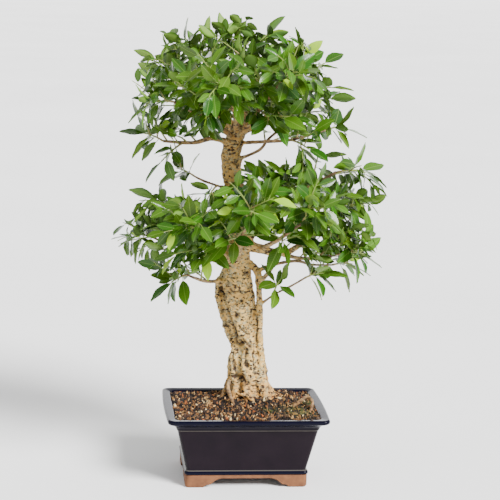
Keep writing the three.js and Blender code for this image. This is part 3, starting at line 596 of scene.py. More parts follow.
def damp_fines():
    """Fine dark soil between the granules: peat and clay dust, dull and nearly black."""
    material, tree, shader, place = new_material("damp_fines")
    clouds = add(tree, "ShaderNodeTexNoise",
                 {"Vector": place, "Scale": per_mm(4), "Detail": 5.0})
    tone = add(tree, "ShaderNodeValToRGB", {"Fac": clouds.outputs["Fac"]},
               stops=[(0.35, "#080201"), (0.7, "#160A04")])
    bump = add(tree, "ShaderNodeBump",
               {"Height": clouds.outputs["Fac"], "Strength": 0.6, "Distance": 0.001})
    connect(tree, shader, {"Base Color": tone.outputs[0], "Normal": bump.outputs[0],
                           "Roughness": 1.0})
    return material


def ficus_bark(settings):
    """Pale corky bark, matt, stippled with olive-brown pores that fall partly as painted shade
    in the relief's pits, browner where it is thin, painted dark as shade in the creases.
    """
    material, tree, shader, place = new_material("ficus_bark")
    girth, cut, relief = [add(tree, "ShaderNodeAttribute", attribute_name=key).outputs["Fac"]
                          for key in ("girth", "cut", "relief")]
    flat = add(tree, "ShaderNodeVectorMath", {0: place, 1: (0.8, 0.8, 1.3)},
               operation="MULTIPLY").outputs[0]
    pores = add(tree, "ShaderNodeTexNoise",
                {"Vector": flat, "Scale": per_mm(settings.pore_size), "Detail": 3.0,
                 "Roughness": 0.65})
    warp = add(tree, "ShaderNodeVectorMath",
               {0: pores.outputs["Color"], 1: (BARK_WARP * MM,) * 3, 2: flat},
               operation="MULTIPLY_ADD").outputs[0]
    corks = add(tree, "ShaderNodeTexVoronoi", {"Vector": warp, "Scale": per_mm(BARK_CELL)})
    cork = add(tree, "ShaderNodeSeparateXYZ", {"Vector": corks.outputs["Color"]})
    # The stipple follows the relief's noise, so its dark pores fall in the pits: partly the
    # bark's own pores, partly painted shade
    mixed = add(tree, "ShaderNodeMix",
                {"Factor_Float": 0.42, "A_Float": cork.outputs["X"], "B_Float": relief})
    height = add(tree, "ShaderNodeSeparateXYZ", {"Vector": place}).outputs["Z"]
    dense, low, high = [add(tree, "ShaderNodeMapRange",
                            {"Value": height, "From Min": start * MM, "From Max": full * MM,
                             "To Max": most}).outputs[0]
                        for (start, full), most in ((PORY_BARK, -0.03), (BROWN_FOOT, 0.6),
                                                    (BROWN_TOP, 0.2))]
    pored_and_pit_shaded = add(tree, "ShaderNodeMath", {0: mixed.outputs[0], 1: dense}, operation="ADD")
    # Two stops at one place give each pore a sharp edge
    stipple = add(tree, "ShaderNodeValToRGB", {"Fac": pored_and_pit_shaded.outputs[0]},
                  stops=[(0.26, "#3A2610"), (0.475, "#CBBC8D"), (0.475, "#6C4C1E"),
                         (0.555, "#D0AA62")])
    twig = add(tree, "ShaderNodeValToRGB", {"Fac": pores.outputs["Fac"]},
               stops=[(0.35, "#4A3A2A"), (0.65, "#A88E6C")])
    thick = add(tree, "ShaderNodeMapRange",
                {"Value": girth, "From Min": TWIG_BARK[0], "From Max": TWIG_BARK[1]}).outputs[0]
    wood = add(tree, "ShaderNodeMix",
               {"Factor_Float": thick, "A_Color": twig.outputs[0],
                "B_Color": stipple.outputs[0]}, data_type="RGBA")
    browner = add(tree, "ShaderNodeMath", {0: low, 1: high}, operation="MAXIMUM").outputs[0]
    rust = add(tree, "ShaderNodeMix",
               {"Factor_Float": browner, "A_Color": wood.outputs[2],
                "B_Color": opaque(settings.low_bark)}, data_type="RGBA", blend_type="MULTIPLY")
    patches = add(tree, "ShaderNodeTexNoise",
                  {"Vector": place, "Scale": per_mm(30), "Detail": 2.0})
    olive = add(tree, "ShaderNodeMapRange",
                {"Value": patches.outputs["Fac"], "From Min": 0.45, "From Max": 0.65,
                 "To Max": 0.55}).outputs[0]
    mottled = add(tree, "ShaderNodeMix",
                  {"Factor_Float": olive, "A_Color": rust.outputs[2],
                   "B_Color": opaque(linear("#B09862"))}, data_type="RGBA",
                  blend_type="MULTIPLY")
    # Painted shade: the carved creases are mixed towards a near-black brown, as the shade inside
    # them
    shade = add(tree, "ShaderNodeMath", {0: cut, 1: 0.96}, operation="MULTIPLY").outputs[0]
    dark = add(tree, "ShaderNodeMix",
               {"Factor_Float": shade, "A_Color": mottled.outputs[2],
                "B_Color": opaque(linear("#241008"))}, data_type="RGBA")
    bump = add(tree, "ShaderNodeBump",
               {"Height": mixed.outputs[0], "Strength": 0.8, "Distance": 0.0016})
    connect(tree, shader, {"Base Color": dark.outputs[2], "Normal": bump.outputs[0],
                           "Roughness": 0.85})
    return material


def green_shoot():
    """Young shoot: soft yellow-green skin with a dull wax, tan where it has turned woody."""
    material, tree, shader, place = new_material("green_shoot")
    youth = add(tree, "ShaderNodeAttribute", attribute_name="youth").outputs["Fac"]
    specks = add(tree, "ShaderNodeTexNoise",
                 {"Vector": place, "Scale": per_mm(2.5), "Detail": 2.0})
    both = add(tree, "ShaderNodeMath",
               {0: youth, 1: specks.outputs["Fac"]}, operation="ADD").outputs[0]
    age = add(tree, "ShaderNodeMath", {0: both, 1: 0.5}, operation="MULTIPLY").outputs[0]
    tone = add(tree, "ShaderNodeValToRGB", {"Fac": age},
               stops=[(0.2, "#6E5236"), (0.34, "#7E7541"), (0.34, "#9C7850"),
                      (0.48, "#74843A")])
    connect(tree, shader, {"Base Color": tone.outputs[0], "Roughness": 0.5})
    return material


def ficus_leaf(settings):
    """Leathery leaf: waxy gloss above over a pale midrib, paler and matt below."""
    material, tree, shader, place = new_material("ficus_leaf")
    spot = add(tree, "ShaderNodeUVMap", uv_map="UVMap").outputs[0]
    axes = add(tree, "ShaderNodeSeparateXYZ", {"Vector": spot})
    tint, youth, below = [add(tree, "ShaderNodeAttribute", attribute_name=key).outputs["Fac"]
                          for key in ("tint", "youth", "below")]
    # Two stops at one place part the darker leaves from the lighter ones
    upper = add(tree, "ShaderNodeValToRGB", {"Fac": tint},
                stops=[(0.0, "#0A2604"), (0.35, "#244C0B"), (0.35, "#103806"),
                       (0.7, "#20500A")])
    clouds = add(tree, "ShaderNodeTexNoise",
                 {"Vector": place, "Scale": per_mm(12), "Detail": 2.0})
    blotch = add(tree, "ShaderNodeMapRange",
                 {"Value": clouds.outputs["Fac"], "To Min": 0.8, "To Max": 1.2}).outputs[0]
    blade = add(tree, "ShaderNodeVectorMath",
                {0: upper.outputs[0], "Scale": blotch}, operation="SCALE").outputs[0]
    off = add(tree, "ShaderNodeMath", {0: axes.outputs[0], 1: 0.5}, operation="SUBTRACT")
    apart = add(tree, "ShaderNodeMath", {0: off.outputs[0]}, operation="ABSOLUTE").outputs[0]
    slant = add(tree, "ShaderNodeMath", {0: apart, 1: VEIN_SLANT, 2: axes.outputs[1]},
                operation="MULTIPLY_ADD").outputs[0]
    wave = add(tree, "ShaderNodeMath", {0: slant, 1: VEIN_PACE}, operation="MULTIPLY").outputs[0]
    veins = add(tree, "ShaderNodeMath", {0: wave}, operation="SINE").outputs[0]
    vein = add(tree, "ShaderNodeMapRange",
               {"Value": veins, "From Min": 0.6, "From Max": 1.0, "To Max": 0.07}).outputs[0]
    rib = add(tree, "ShaderNodeMapRange",
              {"Value": apart, "From Min": 0.03, "From Max": 0.008, "To Max": 0.32}).outputs[0]
    stalk = add(tree, "ShaderNodeMapRange",
                {"Value": axes.outputs[1], "From Min": 0.2, "From Max": 0.12}).outputs[0]
    pale = add(tree, "ShaderNodeMath", {0: rib, 1: vein}, operation="MAXIMUM").outputs[0]
    pale = add(tree, "ShaderNodeMath", {0: pale, 1: stalk}, operation="MAXIMUM").outputs[0]
    ribbed = add(tree, "ShaderNodeMix",
                 {"Factor_Float": pale, "A_Color": blade,
                  "B_Color": opaque(settings.midrib)}, data_type="RGBA")
    fresh = add(tree, "ShaderNodeMix",
                {"Factor_Float": youth, "A_Color": ribbed.outputs[2],
                 "B_Color": opaque(settings.young_leaf)}, data_type="RGBA")
    under = add(tree, "ShaderNodeMix",
                {"Factor_Float": tint, "A_Color": opaque(linear("#3E6226")),
                 "B_Color": opaque(settings.underside)}, data_type="RGBA")
    both = add(tree, "ShaderNodeMix",
               {"Factor_Float": below, "A_Color": fresh.outputs[2],
                "B_Color": under.outputs[2]}, data_type="RGBA")
    rough = add(tree, "ShaderNodeMapRange",
                {"Value": below, "To Min": 0.2, "To Max": 0.5}).outputs[0]
    bump = add(tree, "ShaderNodeBump",
               {"Height": pale, "Strength": 0.25, "Distance": 0.0006})
    connect(tree, shader, {"Base Color": both.outputs[2], "Roughness": rough,
                           "Normal": bump.outputs[0], "IOR": 1.45,
                           "Specular IOR Level": 0.25})
    return material


def moulded_mesh_plastic():
    """Moulded polyethylene mesh: dull black with a faint scuffed sheen."""
    material, tree, shader, place = new_material("moulded_mesh_plastic")
    scuffs = add(tree, "ShaderNodeTexNoise",
                 {"Vector": place, "Scale": per_mm(2), "Detail": 3.0})
    tone = add(tree, "ShaderNodeValToRGB", {"Fac": scuffs.outputs["Fac"]},
               stops=[(0.3, "#15171A"), (0.7, "#2E3231")])
    connect(tree, shader, {"Base Color": tone.outputs[0], "Roughness": 0.55})
    return material


def studio_white():
    """Painted studio floor: matt white, a little uneven."""
    material, tree, shader, place = new_material("studio_white")
    clouds = add(tree, "ShaderNodeTexNoise",
                 {"Vector": place, "Scale": per_mm(900), "Detail": 2.0})
    tone = add(tree, "ShaderNodeValToRGB", {"Fac": clouds.outputs["Fac"]},
               stops=[(0.3, "#F4F4F4"), (0.7, "#FAFAFA")])
    connect(tree, shader, {"Base Color": tone.outputs[0], "Roughness": 0.9})
    return material


def new_object(name, points, faces=(), edges=(), attributes=None):
    """Object at the origin from points in millimetres, with float or vector attributes."""
    mesh = bpy.data.meshes.new(name)
    mesh.from_pydata((np.asarray(points) * MM).tolist(), list(edges), [list(f) for f in faces])
    for key, values in (attributes or {}).items():
        values = np.asarray(values, float)
        kind = "FLOAT_VECTOR" if values.ndim == 2 else "FLOAT"
        layer = mesh.attributes.new(key, kind, "POINT")
        layer.data.foreach_set("vector" if values.ndim == 2 else "value", values.ravel())
    mesh.update()
    piece = bpy.data.objects.new(name, mesh)
    bpy.context.scene.collection.objects.link(piece)
    return piece


def settled(base, name):
    """Plain mesh object of what base evaluates to. The base goes."""
    graph = bpy.context.evaluated_depsgraph_get()
    mesh = bpy.data.meshes.new_from_object(
        base.evaluated_get(graph), preserve_all_data_layers=True, depsgraph=graph)
    mesh.name = name
    piece = bpy.data.objects.new(name, mesh)
    bpy.context.scene.collection.objects.link(piece)
    bpy.data.objects.remove(base)
    return piece


def finish_piece(piece, slot, *nodes):
    """Ties a finished piece to the body and hides the nodes it replaces. The slot is not used.
    """
    if not piece.data.polygons:
        raise RuntimeError(piece.name + " came out empty")
    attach(piece, "root")
    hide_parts(*nodes)


def new_growth(name, sizes):
    """Geometry node tree with a geometry input and named number inputs."""
    tree = bpy.data.node_groups.new(name, "GeometryNodeTree")
    tree.interface.new_socket("Geometry", in_out="INPUT", socket_type="NodeSocketGeometry")
    for key, value in sizes.items():
        kind = "NodeSocketInt" if isinstance(value, int) else "NodeSocketFloat"
        socket = tree.interface.new_socket(key, in_out="INPUT", socket_type=kind)
        socket.default_value = value
    tree.interface.new_socket("Geometry", in_out="OUTPUT", socket_type="NodeSocketGeometry")
    return tree, add(tree, "NodeGroupInput").outputs


def grow(base, name, tree, **values):
    """Runs base through a node tree, its inputs set by identifier, to a plain mesh."""
    modifier = base.modifiers.new("growth", "NODES")
    modifier.node_group = tree
    for item in tree.interface.items_tree:
        key = item.name.lower().replace(" ", "_")
        if item.in_out == "INPUT" and key in values:
            modifier[item.identifier] = values[key]
    return settled(base, name)


def seeded(seed):
    """A repeatable stream of numbers from 0 to 1."""
    state = seed
    while True:
        state = (state + 0x6D2B79F5) & 0xFFFFFFFF
        t = state
        t = ((t ^ (t >> 15)) * (t | 1)) & 0xFFFFFFFF
        t ^= (t + ((t ^ (t >> 7)) * (t | 61))) & 0xFFFFFFFF
        yield ((t ^ (t >> 14)) & 0xFFFFFFFF) / 4294967296


def smooth_route(rows, step):
    """Points every few millimetres on a smooth curve through the rows."""
    rows = np.array(rows, float)
    made = []
    for i in range(len(rows) - 1):
        a, b, c, d = rows[max(i - 1, 0)], rows[i], rows[i + 1], rows[min(i + 2, len(rows) - 1)]
        count = max(1, math.ceil(np.linalg.norm((c - b)[:3]) / step))
        for t in np.arange(count) / count:
            made.append(b + 0.5 * t * (c - a + t * (2 * a - 5 * b + 4 * c - d
                                                    + t * (3 * b - a - 3 * c + d))))
    made.append(rows[-1])
    return np.array(made)


def unit(v):
    """v at length 1."""
    return v / np.linalg.norm(v)


def side_vectors(points):
    """A steady pair of side vectors at each point of a route."""
    side = None
    pairs = []
    for i in range(len(points)):
        run = unit(points[min(i + 1, len(points) - 1)] - points[max(i - 1, 0)])
        if side is None:
            side = np.array([1.0, 0, 0]) if abs(run[0]) < 0.7 else np.array([0, 0, 1.0])
        side = unit(side - run * side.dot(run))
        pairs.append((side, np.cross(run, side)))
    return pairs


def plain_girth(angle, z):
    """Round wood."""
    return 1.0


def trunk_lobes(angle, z):
    """The trunk is fluted where old aerial roots have fused into it."""
    return (1 + 0.09 * math.cos(3 * angle + z / 60) + 0.05 * math.cos(5 * angle - z / 45)
            + 0.02 * math.cos(8 * angle + z / 23))


def tube(rows, sides, lobes=plain_girth):
    """Closed tube round rows of x, y, z and radius: its points and faces."""
    places, radii = rows[:, :3], rows[:, 3]
    points, faces = [], []
    for place, radius, (side, other) in zip(places, radii, side_vectors(places)):
        for k in range(sides):
            angle = k / sides * 2 * math.pi
            reach = radius * lobes(angle, place[2])
            points.append(place + reach * (math.cos(angle) * side + math.sin(angle) * other))
    for ring in range(len(rows) - 1):
        for k in range(sides):
            a, b = ring * sides + k, ring * sides + (k + 1) % sides
            faces.append((a, b, b + sides, a + sides))
    faces.append(tuple(reversed(range(sides))))
    faces.append(tuple(range((len(rows) - 1) * sides, len(rows) * sides)))
    return points, faces


def joined_meshes(parts):
    """Points and faces of several meshes as one list each."""
    points, faces = [], []
    for own_points, own_faces in parts:
        start = len(points)
        points.extend(own_points)
        faces.extend(tuple(i + start for i in face) for face in own_faces)
    return points, faces


def rounded_levels(levels, steps=4):
    """Levels of a section whose corners give way to short curves. A level is height, half
    length, half depth, corner, bow and how far from the corner its curve starts."""
    made = [levels[0][:5]]
    for before, here, after in zip(levels, levels[1:], levels[2:]):
        corner = np.array(here[:5], float)
        ends = []
        for other in (before, after):
            way = np.array(other[:5], float) - corner
            reach = math.hypot(way[0], way[1])
            ends.append(corner + way * min(MOST_OF_LEG, here[5] / max(reach, 1e-6)))
        for k in range(steps + 1):
            t = k / steps
            made.append(ends[0] * (1 - t) ** 2 + corner * 2 * t * (1 - t) + ends[1] * t * t)
    made.append(levels[-1][:5])
    return made


def pot_inside():
    """Levels down the inner wall: its lip, its neck, and both ends of the floor's fillet."""
    foot_x, foot_y = BODY_FOOT_LENGTH / 2 - WALL, BODY_FOOT_DEPTH / 2 - WALL
    return [
        (POT_HEIGHT - LIP_DEPTH, POT_LENGTH / 2 - RIM_BOW / 2 - RIM_TOP_WIDTH,
         POT_DEPTH / 2 - RIM_TOP_WIDTH - 1, RIM_CORNER, 0, 1.2),
        (BODY_TOP_Z, BODY_TOP_LENGTH / 2 - WALL, BODY_TOP_DEPTH / 2 - WALL, BODY_CORNER, 0, 3),
        (FLOOR_TOP_Z + FLOOR_FILLET, foot_x, foot_y, FOOT_CORNER, 0, 3),
        (FLOOR_TOP_Z, foot_x - FLOOR_FILLET, foot_y - FLOOR_FILLET, INNER_CORNER, 0, 0),
    ]


def pot_section():
    """Up the outside from the foot ring, over the rolled rim and down the inner wall."""
    rim_x, rim_y = POT_LENGTH / 2 - RIM_BOW, POT_DEPTH / 2
    foot_x, foot_y = FOOT_LENGTH / 2, FOOT_DEPTH / 2
    _, inner_x, inner_y, *_ = pot_inside()[0]

    def foot(z, out, soft, corner=FOOT_CORNER):
        return (z, foot_x + out, foot_y + out, corner, 0, soft)

    def wall(z, out, soft, corner=BODY_CORNER, bow=0.0):
        return (z, BODY_TOP_LENGTH / 2 + out, BODY_TOP_DEPTH / 2 + out, corner, bow, soft)

    def rim(drop, inset, soft):
        return (POT_HEIGHT - drop, rim_x - inset, rim_y - inset, RIM_CORNER, RIM_BOW, soft)

    return [
        foot(FLOOR_UNDERSIDE_Z, -FOOT_WALL, 0, INNER_CORNER),
        foot(0, 1 - FOOT_WALL, 1, INNER_CORNER),
        foot(0, -1.8, 0.8),
        foot(2.5, 0, 1.2),
        foot(FOOT_HEIGHT - 1.5, 0, 0.6),
        foot(FOOT_HEIGHT, -1, 0.5),
        foot(FOOT_HEIGHT + 1.5, BEAD_PROUD, 1.2),
        foot(FOOT_HEIGHT + 6, BEAD_PROUD, 2),
        (FOOT_HEIGHT + 9, BODY_FOOT_LENGTH / 2, BODY_FOOT_DEPTH / 2, FOOT_CORNER, 0, 1.5),
        wall(BODY_TOP_Z, 0, 0.6),
        wall(BODY_TOP_Z + 1.3, 1.4, 0.8),
        wall(BODY_TOP_Z + 7, 3, 4, BODY_CORNER, RIM_BOW * 0.3),
        wall(BODY_TOP_Z + 12.5, 8.5, 4, BODY_CORNER + 1, RIM_BOW * 0.7),
        rim(9, 3, 1.4),
        rim(6.5, 0.3, 2),
        rim(2, 0.3, 2),
        rim(0, 2.5, 1.5),
        (POT_HEIGHT - LIP_DEPTH / 2, inner_x + LIP_DEPTH / 2, inner_y + LIP_DEPTH / 2,
         RIM_CORNER, 0, 1.5),
        *pot_inside(),
    ]


def plan_outline(z, half_length, half_depth, corner, bow, arc=8, run=14):
    """Rounded rectangle in plan, anticlockwise, whose short sides may bow outwards."""
    points = []
    for quarter in range(4):
        sx = 1 if quarter in (0, 3) else -1
        sy = 1 if quarter < 2 else -1
        for step in range(arc + 1):
            angle = math.radians(90 * (quarter + step / arc))
            points.append([sx * (half_length - corner) + corner * math.cos(angle),
                           sy * (half_depth - corner) + corner * math.sin(angle)])
        start = np.array(points[-1])
        if quarter in (0, 2):
            end = np.array([-sx * (half_length - corner), start[1]])
        else:
            end = np.array([start[0], -sy * (half_depth - corner)])
        for k in range(1, run):
            points.append(start + (end - start) * k / run)
    plan = np.array(points)
    from_middle = np.minimum(1, np.abs(plan[:, 1]) / half_depth)
    plan[:, 0] += np.sign(plan[:, 0]) * bow * (1 - from_middle ** 2)
    return np.column_stack([plan, np.full(len(plan), z)])


def loft(rings):
    """Closed skin through rings of equal count: its points and faces."""
    count = len(rings[0])
    faces = []
    for ring in range(len(rings) - 1):
        for k in range(count):
            a, b = ring * count + k, ring * count + (k + 1) % count
            faces.append((a, b, b + count, a + count))
    faces.append(tuple(reversed(range(count))))
    faces.append(tuple(range((len(rings) - 1) * count, len(rings) * count)))
    return np.concatenate(rings), faces


def arch_cutter(name, width, through, along_x):
    """What is cut away under one pair of the pot's sides, with a scallop at each foot."""
    half = [(width / 2 - inwards, z) for inwards, z, *_ in
            smooth_route([[a, b, 0, 0] for a, b in ARCH_PROFILE], 2)]
    outline = half + [(-x, z) for x, z in reversed(half)]
    if along_x:
        rings = [[(end, x, z) for x, z in outline] for end in (-through / 2, through / 2)]
    else:
        rings = [[(x, end, z) for x, z in outline] for end in (through / 2, -through / 2)]
    points, faces = loft([np.array(ring, float) for ring in rings])
    return new_object(name, points, faces)


def hole_cutter(name, x):
    """A drain hole's cylinder."""
    rows = np.array([[x, 0, z, DRAIN_HOLE_RADIUS] for z in (FLOOR_TOP_Z - 20, FLOOR_TOP_Z + 20)])
    points, faces = tube(rows, 32)
    return new_object(name, points, faces)


def make_pot(settings):
    """The pot: one lofted skin, arches and drain holes cut out, glazed above its feet."""
    rings = [plan_outline(*level) for level in rounded_levels(pot_section())]
    points, faces = loft(rings)
    base = new_object("pot_clay", points, faces)
    cutters = [
        arch_cutter("front_arch", FRONT_ARCH_WIDTH, POT_DEPTH, False),
        arch_cutter("side_arch", SIDE_ARCH_WIDTH, POT_LENGTH, True),
        hole_cutter("left_hole", -DRAIN_HOLE_X),
        hole_cutter("right_hole", DRAIN_HOLE_X),
    ]
    for cutter in cutters:
        cut = base.modifiers.new(cutter.name, "BOOLEAN")
        cut.operation = "DIFFERENCE"
        cut.solver = "EXACT"
        cut.object = cutter
    pot = settled(base, "glazed_pot")
    for cutter in cutters:
        bpy.data.objects.remove(cutter)
    pot.data.materials.clear()
    pot.data.materials.append(glazed_stoneware(settings))
    pot.data.materials.append(bare_terracotta())
    for face in pot.data.polygons:
        inside = face.center.z < FLOOR_TOP_Z * MM * 1.02 and abs(face.normal.z) > 0.99
        face.material_index = 1 if face.center.z < FOOT_HEIGHT * MM or inside else 0
        face.use_smooth = True
    pot.data.set_sharp_from_angle(angle=math.radians(SHARP_EDGE))
    finish_piece(pot, "glazed_stoneware", "pot")


def grit_wave(x, y):
    """Smooth noise from -1 to 1 on a square grid of cells."""
    def corner(i, j):
        s = math.sin(i * 127.1 + j * 311.7) * 43758.5453
        return 2 * (s - math.floor(s)) - 1

    i, j = math.floor(x), math.floor(y)
    u, v = x - i, y - j
    low = corner(i, j) * (1 - u) + corner(i + 1, j) * u
    high = corner(i, j + 1) * (1 - u) + corner(i + 1, j + 1) * u
    return low * (1 - v) + high * v


def soil_height(x, y):
    """Level with the rim at the edge, mounded round the trunk, gritty."""
    _, half_length, half_depth, *_ = pot_inside()[0]
    spread = math.dist((x, y), TRUNK_FOOT) / MOUND_SPREAD
    inside = (1 - (x / half_length) ** 6) * (1 - (y / half_depth) ** 6)
    mound = SOIL_MOUND * math.exp(-spread * spread / 2) * max(0, inside)
    return SOIL_EDGE_Z + mound + SOIL_GRIT * grit_wave(x / GRIT_SIZE, y / GRIT_SIZE)


def grain_models(count, seed):
    """Angular granules of unit size, as a hidden collection."""
    random = np.random.default_rng(seed)
    models = bpy.data.collections.new("grain_models")
    bpy.context.scene.collection.children.link(models)
    for k in range(count):
        shape = bmesh.new()
        stretch = random.uniform([1.0, 0.65, 0.35], [1.8, 1.0, 0.65])
        for corner in random.normal(size=(GRAIN_CORNERS, 3)):
            shape.verts.new(unit(corner) * stretch / 2)
        hull = bmesh.ops.convex_hull(shape, input=shape.verts)
        spare = {v for v in hull["geom_interior"] + hull["geom_unused"]
                 if isinstance(v, bmesh.types.BMVert)}
        bmesh.ops.delete(shape, geom=list(spare), context="VERTS")
        bmesh.ops.recalc_face_normals(shape, faces=shape.faces)
        mesh = bpy.data.meshes.new("grain_%d" % k)
        shape.to_mesh(mesh)
        shape.free()
        models.objects.link(bpy.data.objects.new(mesh.name, mesh))
    return models


def remove_models(models):
    """Clears a helper collection and what is in it."""
    for model in list(models.objects):
        bpy.data.objects.remove(model)
    bpy.data.collections.remove(models)


def grit_growth(models, grit, fines, count):
    """Scatters granules over the soil's top, each with its own turn, size and tint."""
    tree, entry = new_growth("scattered_grit", {"Spacing": 0.004, "Grain": 0.0055, "Seed": 3})
    top = add(tree, "GeometryNodeInputNamedAttribute", {"Name": "top"}, data_type="FLOAT")
    spread = add(tree, "GeometryNodeDistributePointsOnFaces",
                 {"Mesh": entry["Geometry"], "Selection": top.outputs[0],
                  "Distance Min": entry["Spacing"], "Density Max": 500000.0,
                  "Seed": entry["Seed"]}, distribute_method="POISSON")
    lift = add(tree, "FunctionNodeRandomValue",
               {"Min": (0, 0, GRAIN_LIFT[0] * MM), "Max": (0, 0, GRAIN_LIFT[1] * MM),
                "Seed": 5}, data_type="FLOAT_VECTOR")
    raised = add(tree, "GeometryNodeSetPosition",
                 {"Geometry": spread.outputs["Points"], "Offset": lift.outputs["Value"]})
    pick = add(tree, "FunctionNodeRandomValue",
               {"Min_002": 0, "Max_002": count - 1, "Seed": 7}, data_type="INT")
    turn = add(tree, "FunctionNodeRandomValue",
               {"Min": (0, 0, 0), "Max": (GRAIN_TURN,) * 3, "Seed": 8},
               data_type="FLOAT_VECTOR")
    spin = add(tree, "FunctionNodeEulerToRotation", {"Euler": turn.outputs["Value"]})
    size = add(tree, "FunctionNodeRandomValue",
               {"Min_001": GRAIN_VARY[0], "Max_001": GRAIN_VARY[1], "Seed": 9},
               data_type="FLOAT")
    scale = add(tree, "ShaderNodeMath",
                {0: socket_of(size.outputs, "Value_001"), 1: entry["Grain"]},
                operation="MULTIPLY")
    source = add(tree, "GeometryNodeCollectionInfo",
                 {"Collection": models, "Separate Children": True, "Reset Children": True})
    grains = add(tree, "GeometryNodeInstanceOnPoints",
                 {"Points": raised.outputs[0], "Instance": source.outputs[0],
                  "Pick Instance": True,
                  "Instance Index": socket_of(pick.outputs, "Value_002"),
                  "Rotation": spin.outputs[0], "Scale": scale.outputs[0]})
    tint = add(tree, "FunctionNodeRandomValue", {"Seed": 11}, data_type="FLOAT")
    tinted = add(tree, "GeometryNodeStoreNamedAttribute",
                 {"Geometry": grains.outputs[0], "Name": "tint",
                  "Value": socket_of(tint.outputs, "Value_001")},
                 data_type="FLOAT", domain="INSTANCE")
    marked = add(tree, "GeometryNodeStoreNamedAttribute",
                 {"Geometry": tinted.outputs[0], "Name": "grain", "Value": 1.0},
                 data_type="FLOAT", domain="INSTANCE")
    both = add(tree, "GeometryNodeJoinGeometry", {"Geometry": marked.outputs[0]})
    tree.links.new(entry["Geometry"], both.inputs[0])
    real = add(tree, "GeometryNodeRealizeInstances", {"Geometry": both.outputs[0]})
    dusty = add(tree, "GeometryNodeSetMaterial",
                {"Geometry": real.outputs[0], "Material": fines})
    is_grain = add(tree, "GeometryNodeInputNamedAttribute", {"Name": "grain"},
                   data_type="FLOAT")
    dressed = add(tree, "GeometryNodeSetMaterial",
                  {"Geometry": dusty.outputs[0], "Selection": is_grain.outputs[0],
                   "Material": grit})
    add(tree, "NodeGroupOutput", {"Geometry": dressed.outputs[0]})
    return tree


def moss_on(places):
    """How mossy each place is."""
    amount = np.zeros(len(places))
    for x, y, reach, most in MOSS_DRIFTS:
        far = np.hypot(places[:, 0] / MM - x, places[:, 1] / MM - y) / reach
        amount = np.maximum(amount, most * np.exp(-far * far))
    return amount


def make_soil(settings):
    """Fine soil with a skin of granules, filling the pot inside its wall."""
    lip, neck, foot, floor = pot_inside()

    def ring_at(level, z, inset=2 * SEAT_GAP):
        return plan_outline(z, level[1] - inset, level[2] - inset, level[3], 0,
                            SOIL_CORNER_STEPS, SOIL_SIDE_STEPS)

    rings = [ring_at(floor, FLOOR_TOP_Z + SEAT_GAP),
             ring_at(foot, FLOOR_TOP_Z + FLOOR_FILLET + SEAT_GAP), ring_at(neck, BODY_TOP_Z)]
    edge = ring_at(lip, 0, 2 * SEAT_GAP + SOIL_EDGE_INSET)
    first_top = len(rings)
    for k in range(SOIL_RINGS):
        ring = edge * (1 - k / SOIL_RINGS)
        for p in ring:
            p[2] = SOIL_EDGE_Z if k == 0 else soil_height(p[0], p[1])
        rings.append(ring)
    points, faces = loft(rings)
    top = np.zeros(len(points))
    top[first_top * len(edge):] = 1
    models = grain_models(settings.grain_kinds, GRAIN_SEED)
    base = new_object("soil_base", points, faces, attributes={"top": top})
    for face in base.data.polygons:
        face.use_smooth = True
    tree = grit_growth(models, potting_grit(settings), damp_fines(), settings.grain_kinds)
    soil = grow(base, "gritty_soil", tree, spacing=settings.grain_spacing,
                grain=settings.grain_size)
    remove_models(models)
    places = np.empty(len(soil.data.vertices) * 3)
    soil.data.vertices.foreach_get("co", places)
    moss = moss_on(places.reshape(-1, 3))
    soil.data.attributes.new("moss", "FLOAT", "POINT").data.foreach_set("value", moss)
    finish_piece(soil, "potting_grit", "soil")


def root_rows(angle, reach, radius):
    """A buried root's rows of x, y, z and radius."""
    x, y = TRUNK_FOOT
    c, s = math.cos(math.radians(angle)), math.sin(math.radians(angle))
    middle, girth = reach * ROOT_MIDDLE["along"], radius * ROOT_MIDDLE["girth"]
    return [[x + ROOT_START * c, y + ROOT_START * s, ROOT_CREST_Z, radius],
            [x + middle * c, y + middle * s, ROOT_SOIL_Z, girth],
            [x + reach * c, y + reach * s, ROOT_END_Z, radius * ROOT_TIP_GIRTH]]


def bough_rows(route, radius):
    """A bough's rows of x, y, z and radius, evenly thinner from row to row."""
    thick, thin = radius
    last = len(route) - 1
    return [[*p, thick + (thin - thick) * i / last] for i, p in enumerate(route)]


def bough_runs():
    """Each bough's smooth rows, and how far along it each row lies."""
    runs = []
    for _, radius, route, _ in BOUGHS:
        rows = smooth_route(bough_rows(route, radius), ROUTE_STEP)
        legs = np.linalg.norm(np.diff(rows[:, :3], axis=0), axis=1)
        runs.append((rows, np.concatenate([[0], np.cumsum(legs)])))
    return runs


def thick_wood():
    """Every route of wood that is blended into one body, as smooth rows."""
    grown = [TRUNK, AERIAL_STEM, CLINGING_ROOT, LOOP_ROOT]
    grown += [root_rows(*root) for root in ROOTS]
    routes = [smooth_route(rows, ROUTE_STEP) for rows in grown + FUSED_ROOTS]
    for rows, reach in bough_runs():
        collar = rows[reach < COLLAR_REACH].copy()
        collar[:, 3] += COLLAR_SWELL * np.exp(-reach[:len(collar)] / COLLAR_FADE)
        routes.append(collar)
    return routes


def nearest_girth(places, routes):
    """For each place, the radius of the thickest wood that reaches it, or else the closest."""
    rows = np.concatenate(routes)
    radius = rows[:, 3]
    girth = np.empty(len(places))
    for start in range(0, len(places), GIRTH_BATCH):
        some = slice(start, start + GIRTH_BATCH)
        far = np.linalg.norm(places[some, None] - rows[None, :, :3], axis=2)
        reached = np.where(far < radius * GIRTH_REACH + GIRTH_MARGIN, radius, 0).max(axis=1)
        closest = radius[np.argmin(far - radius, axis=1)]
        girth[some] = np.maximum(reached, closest)
    return girth


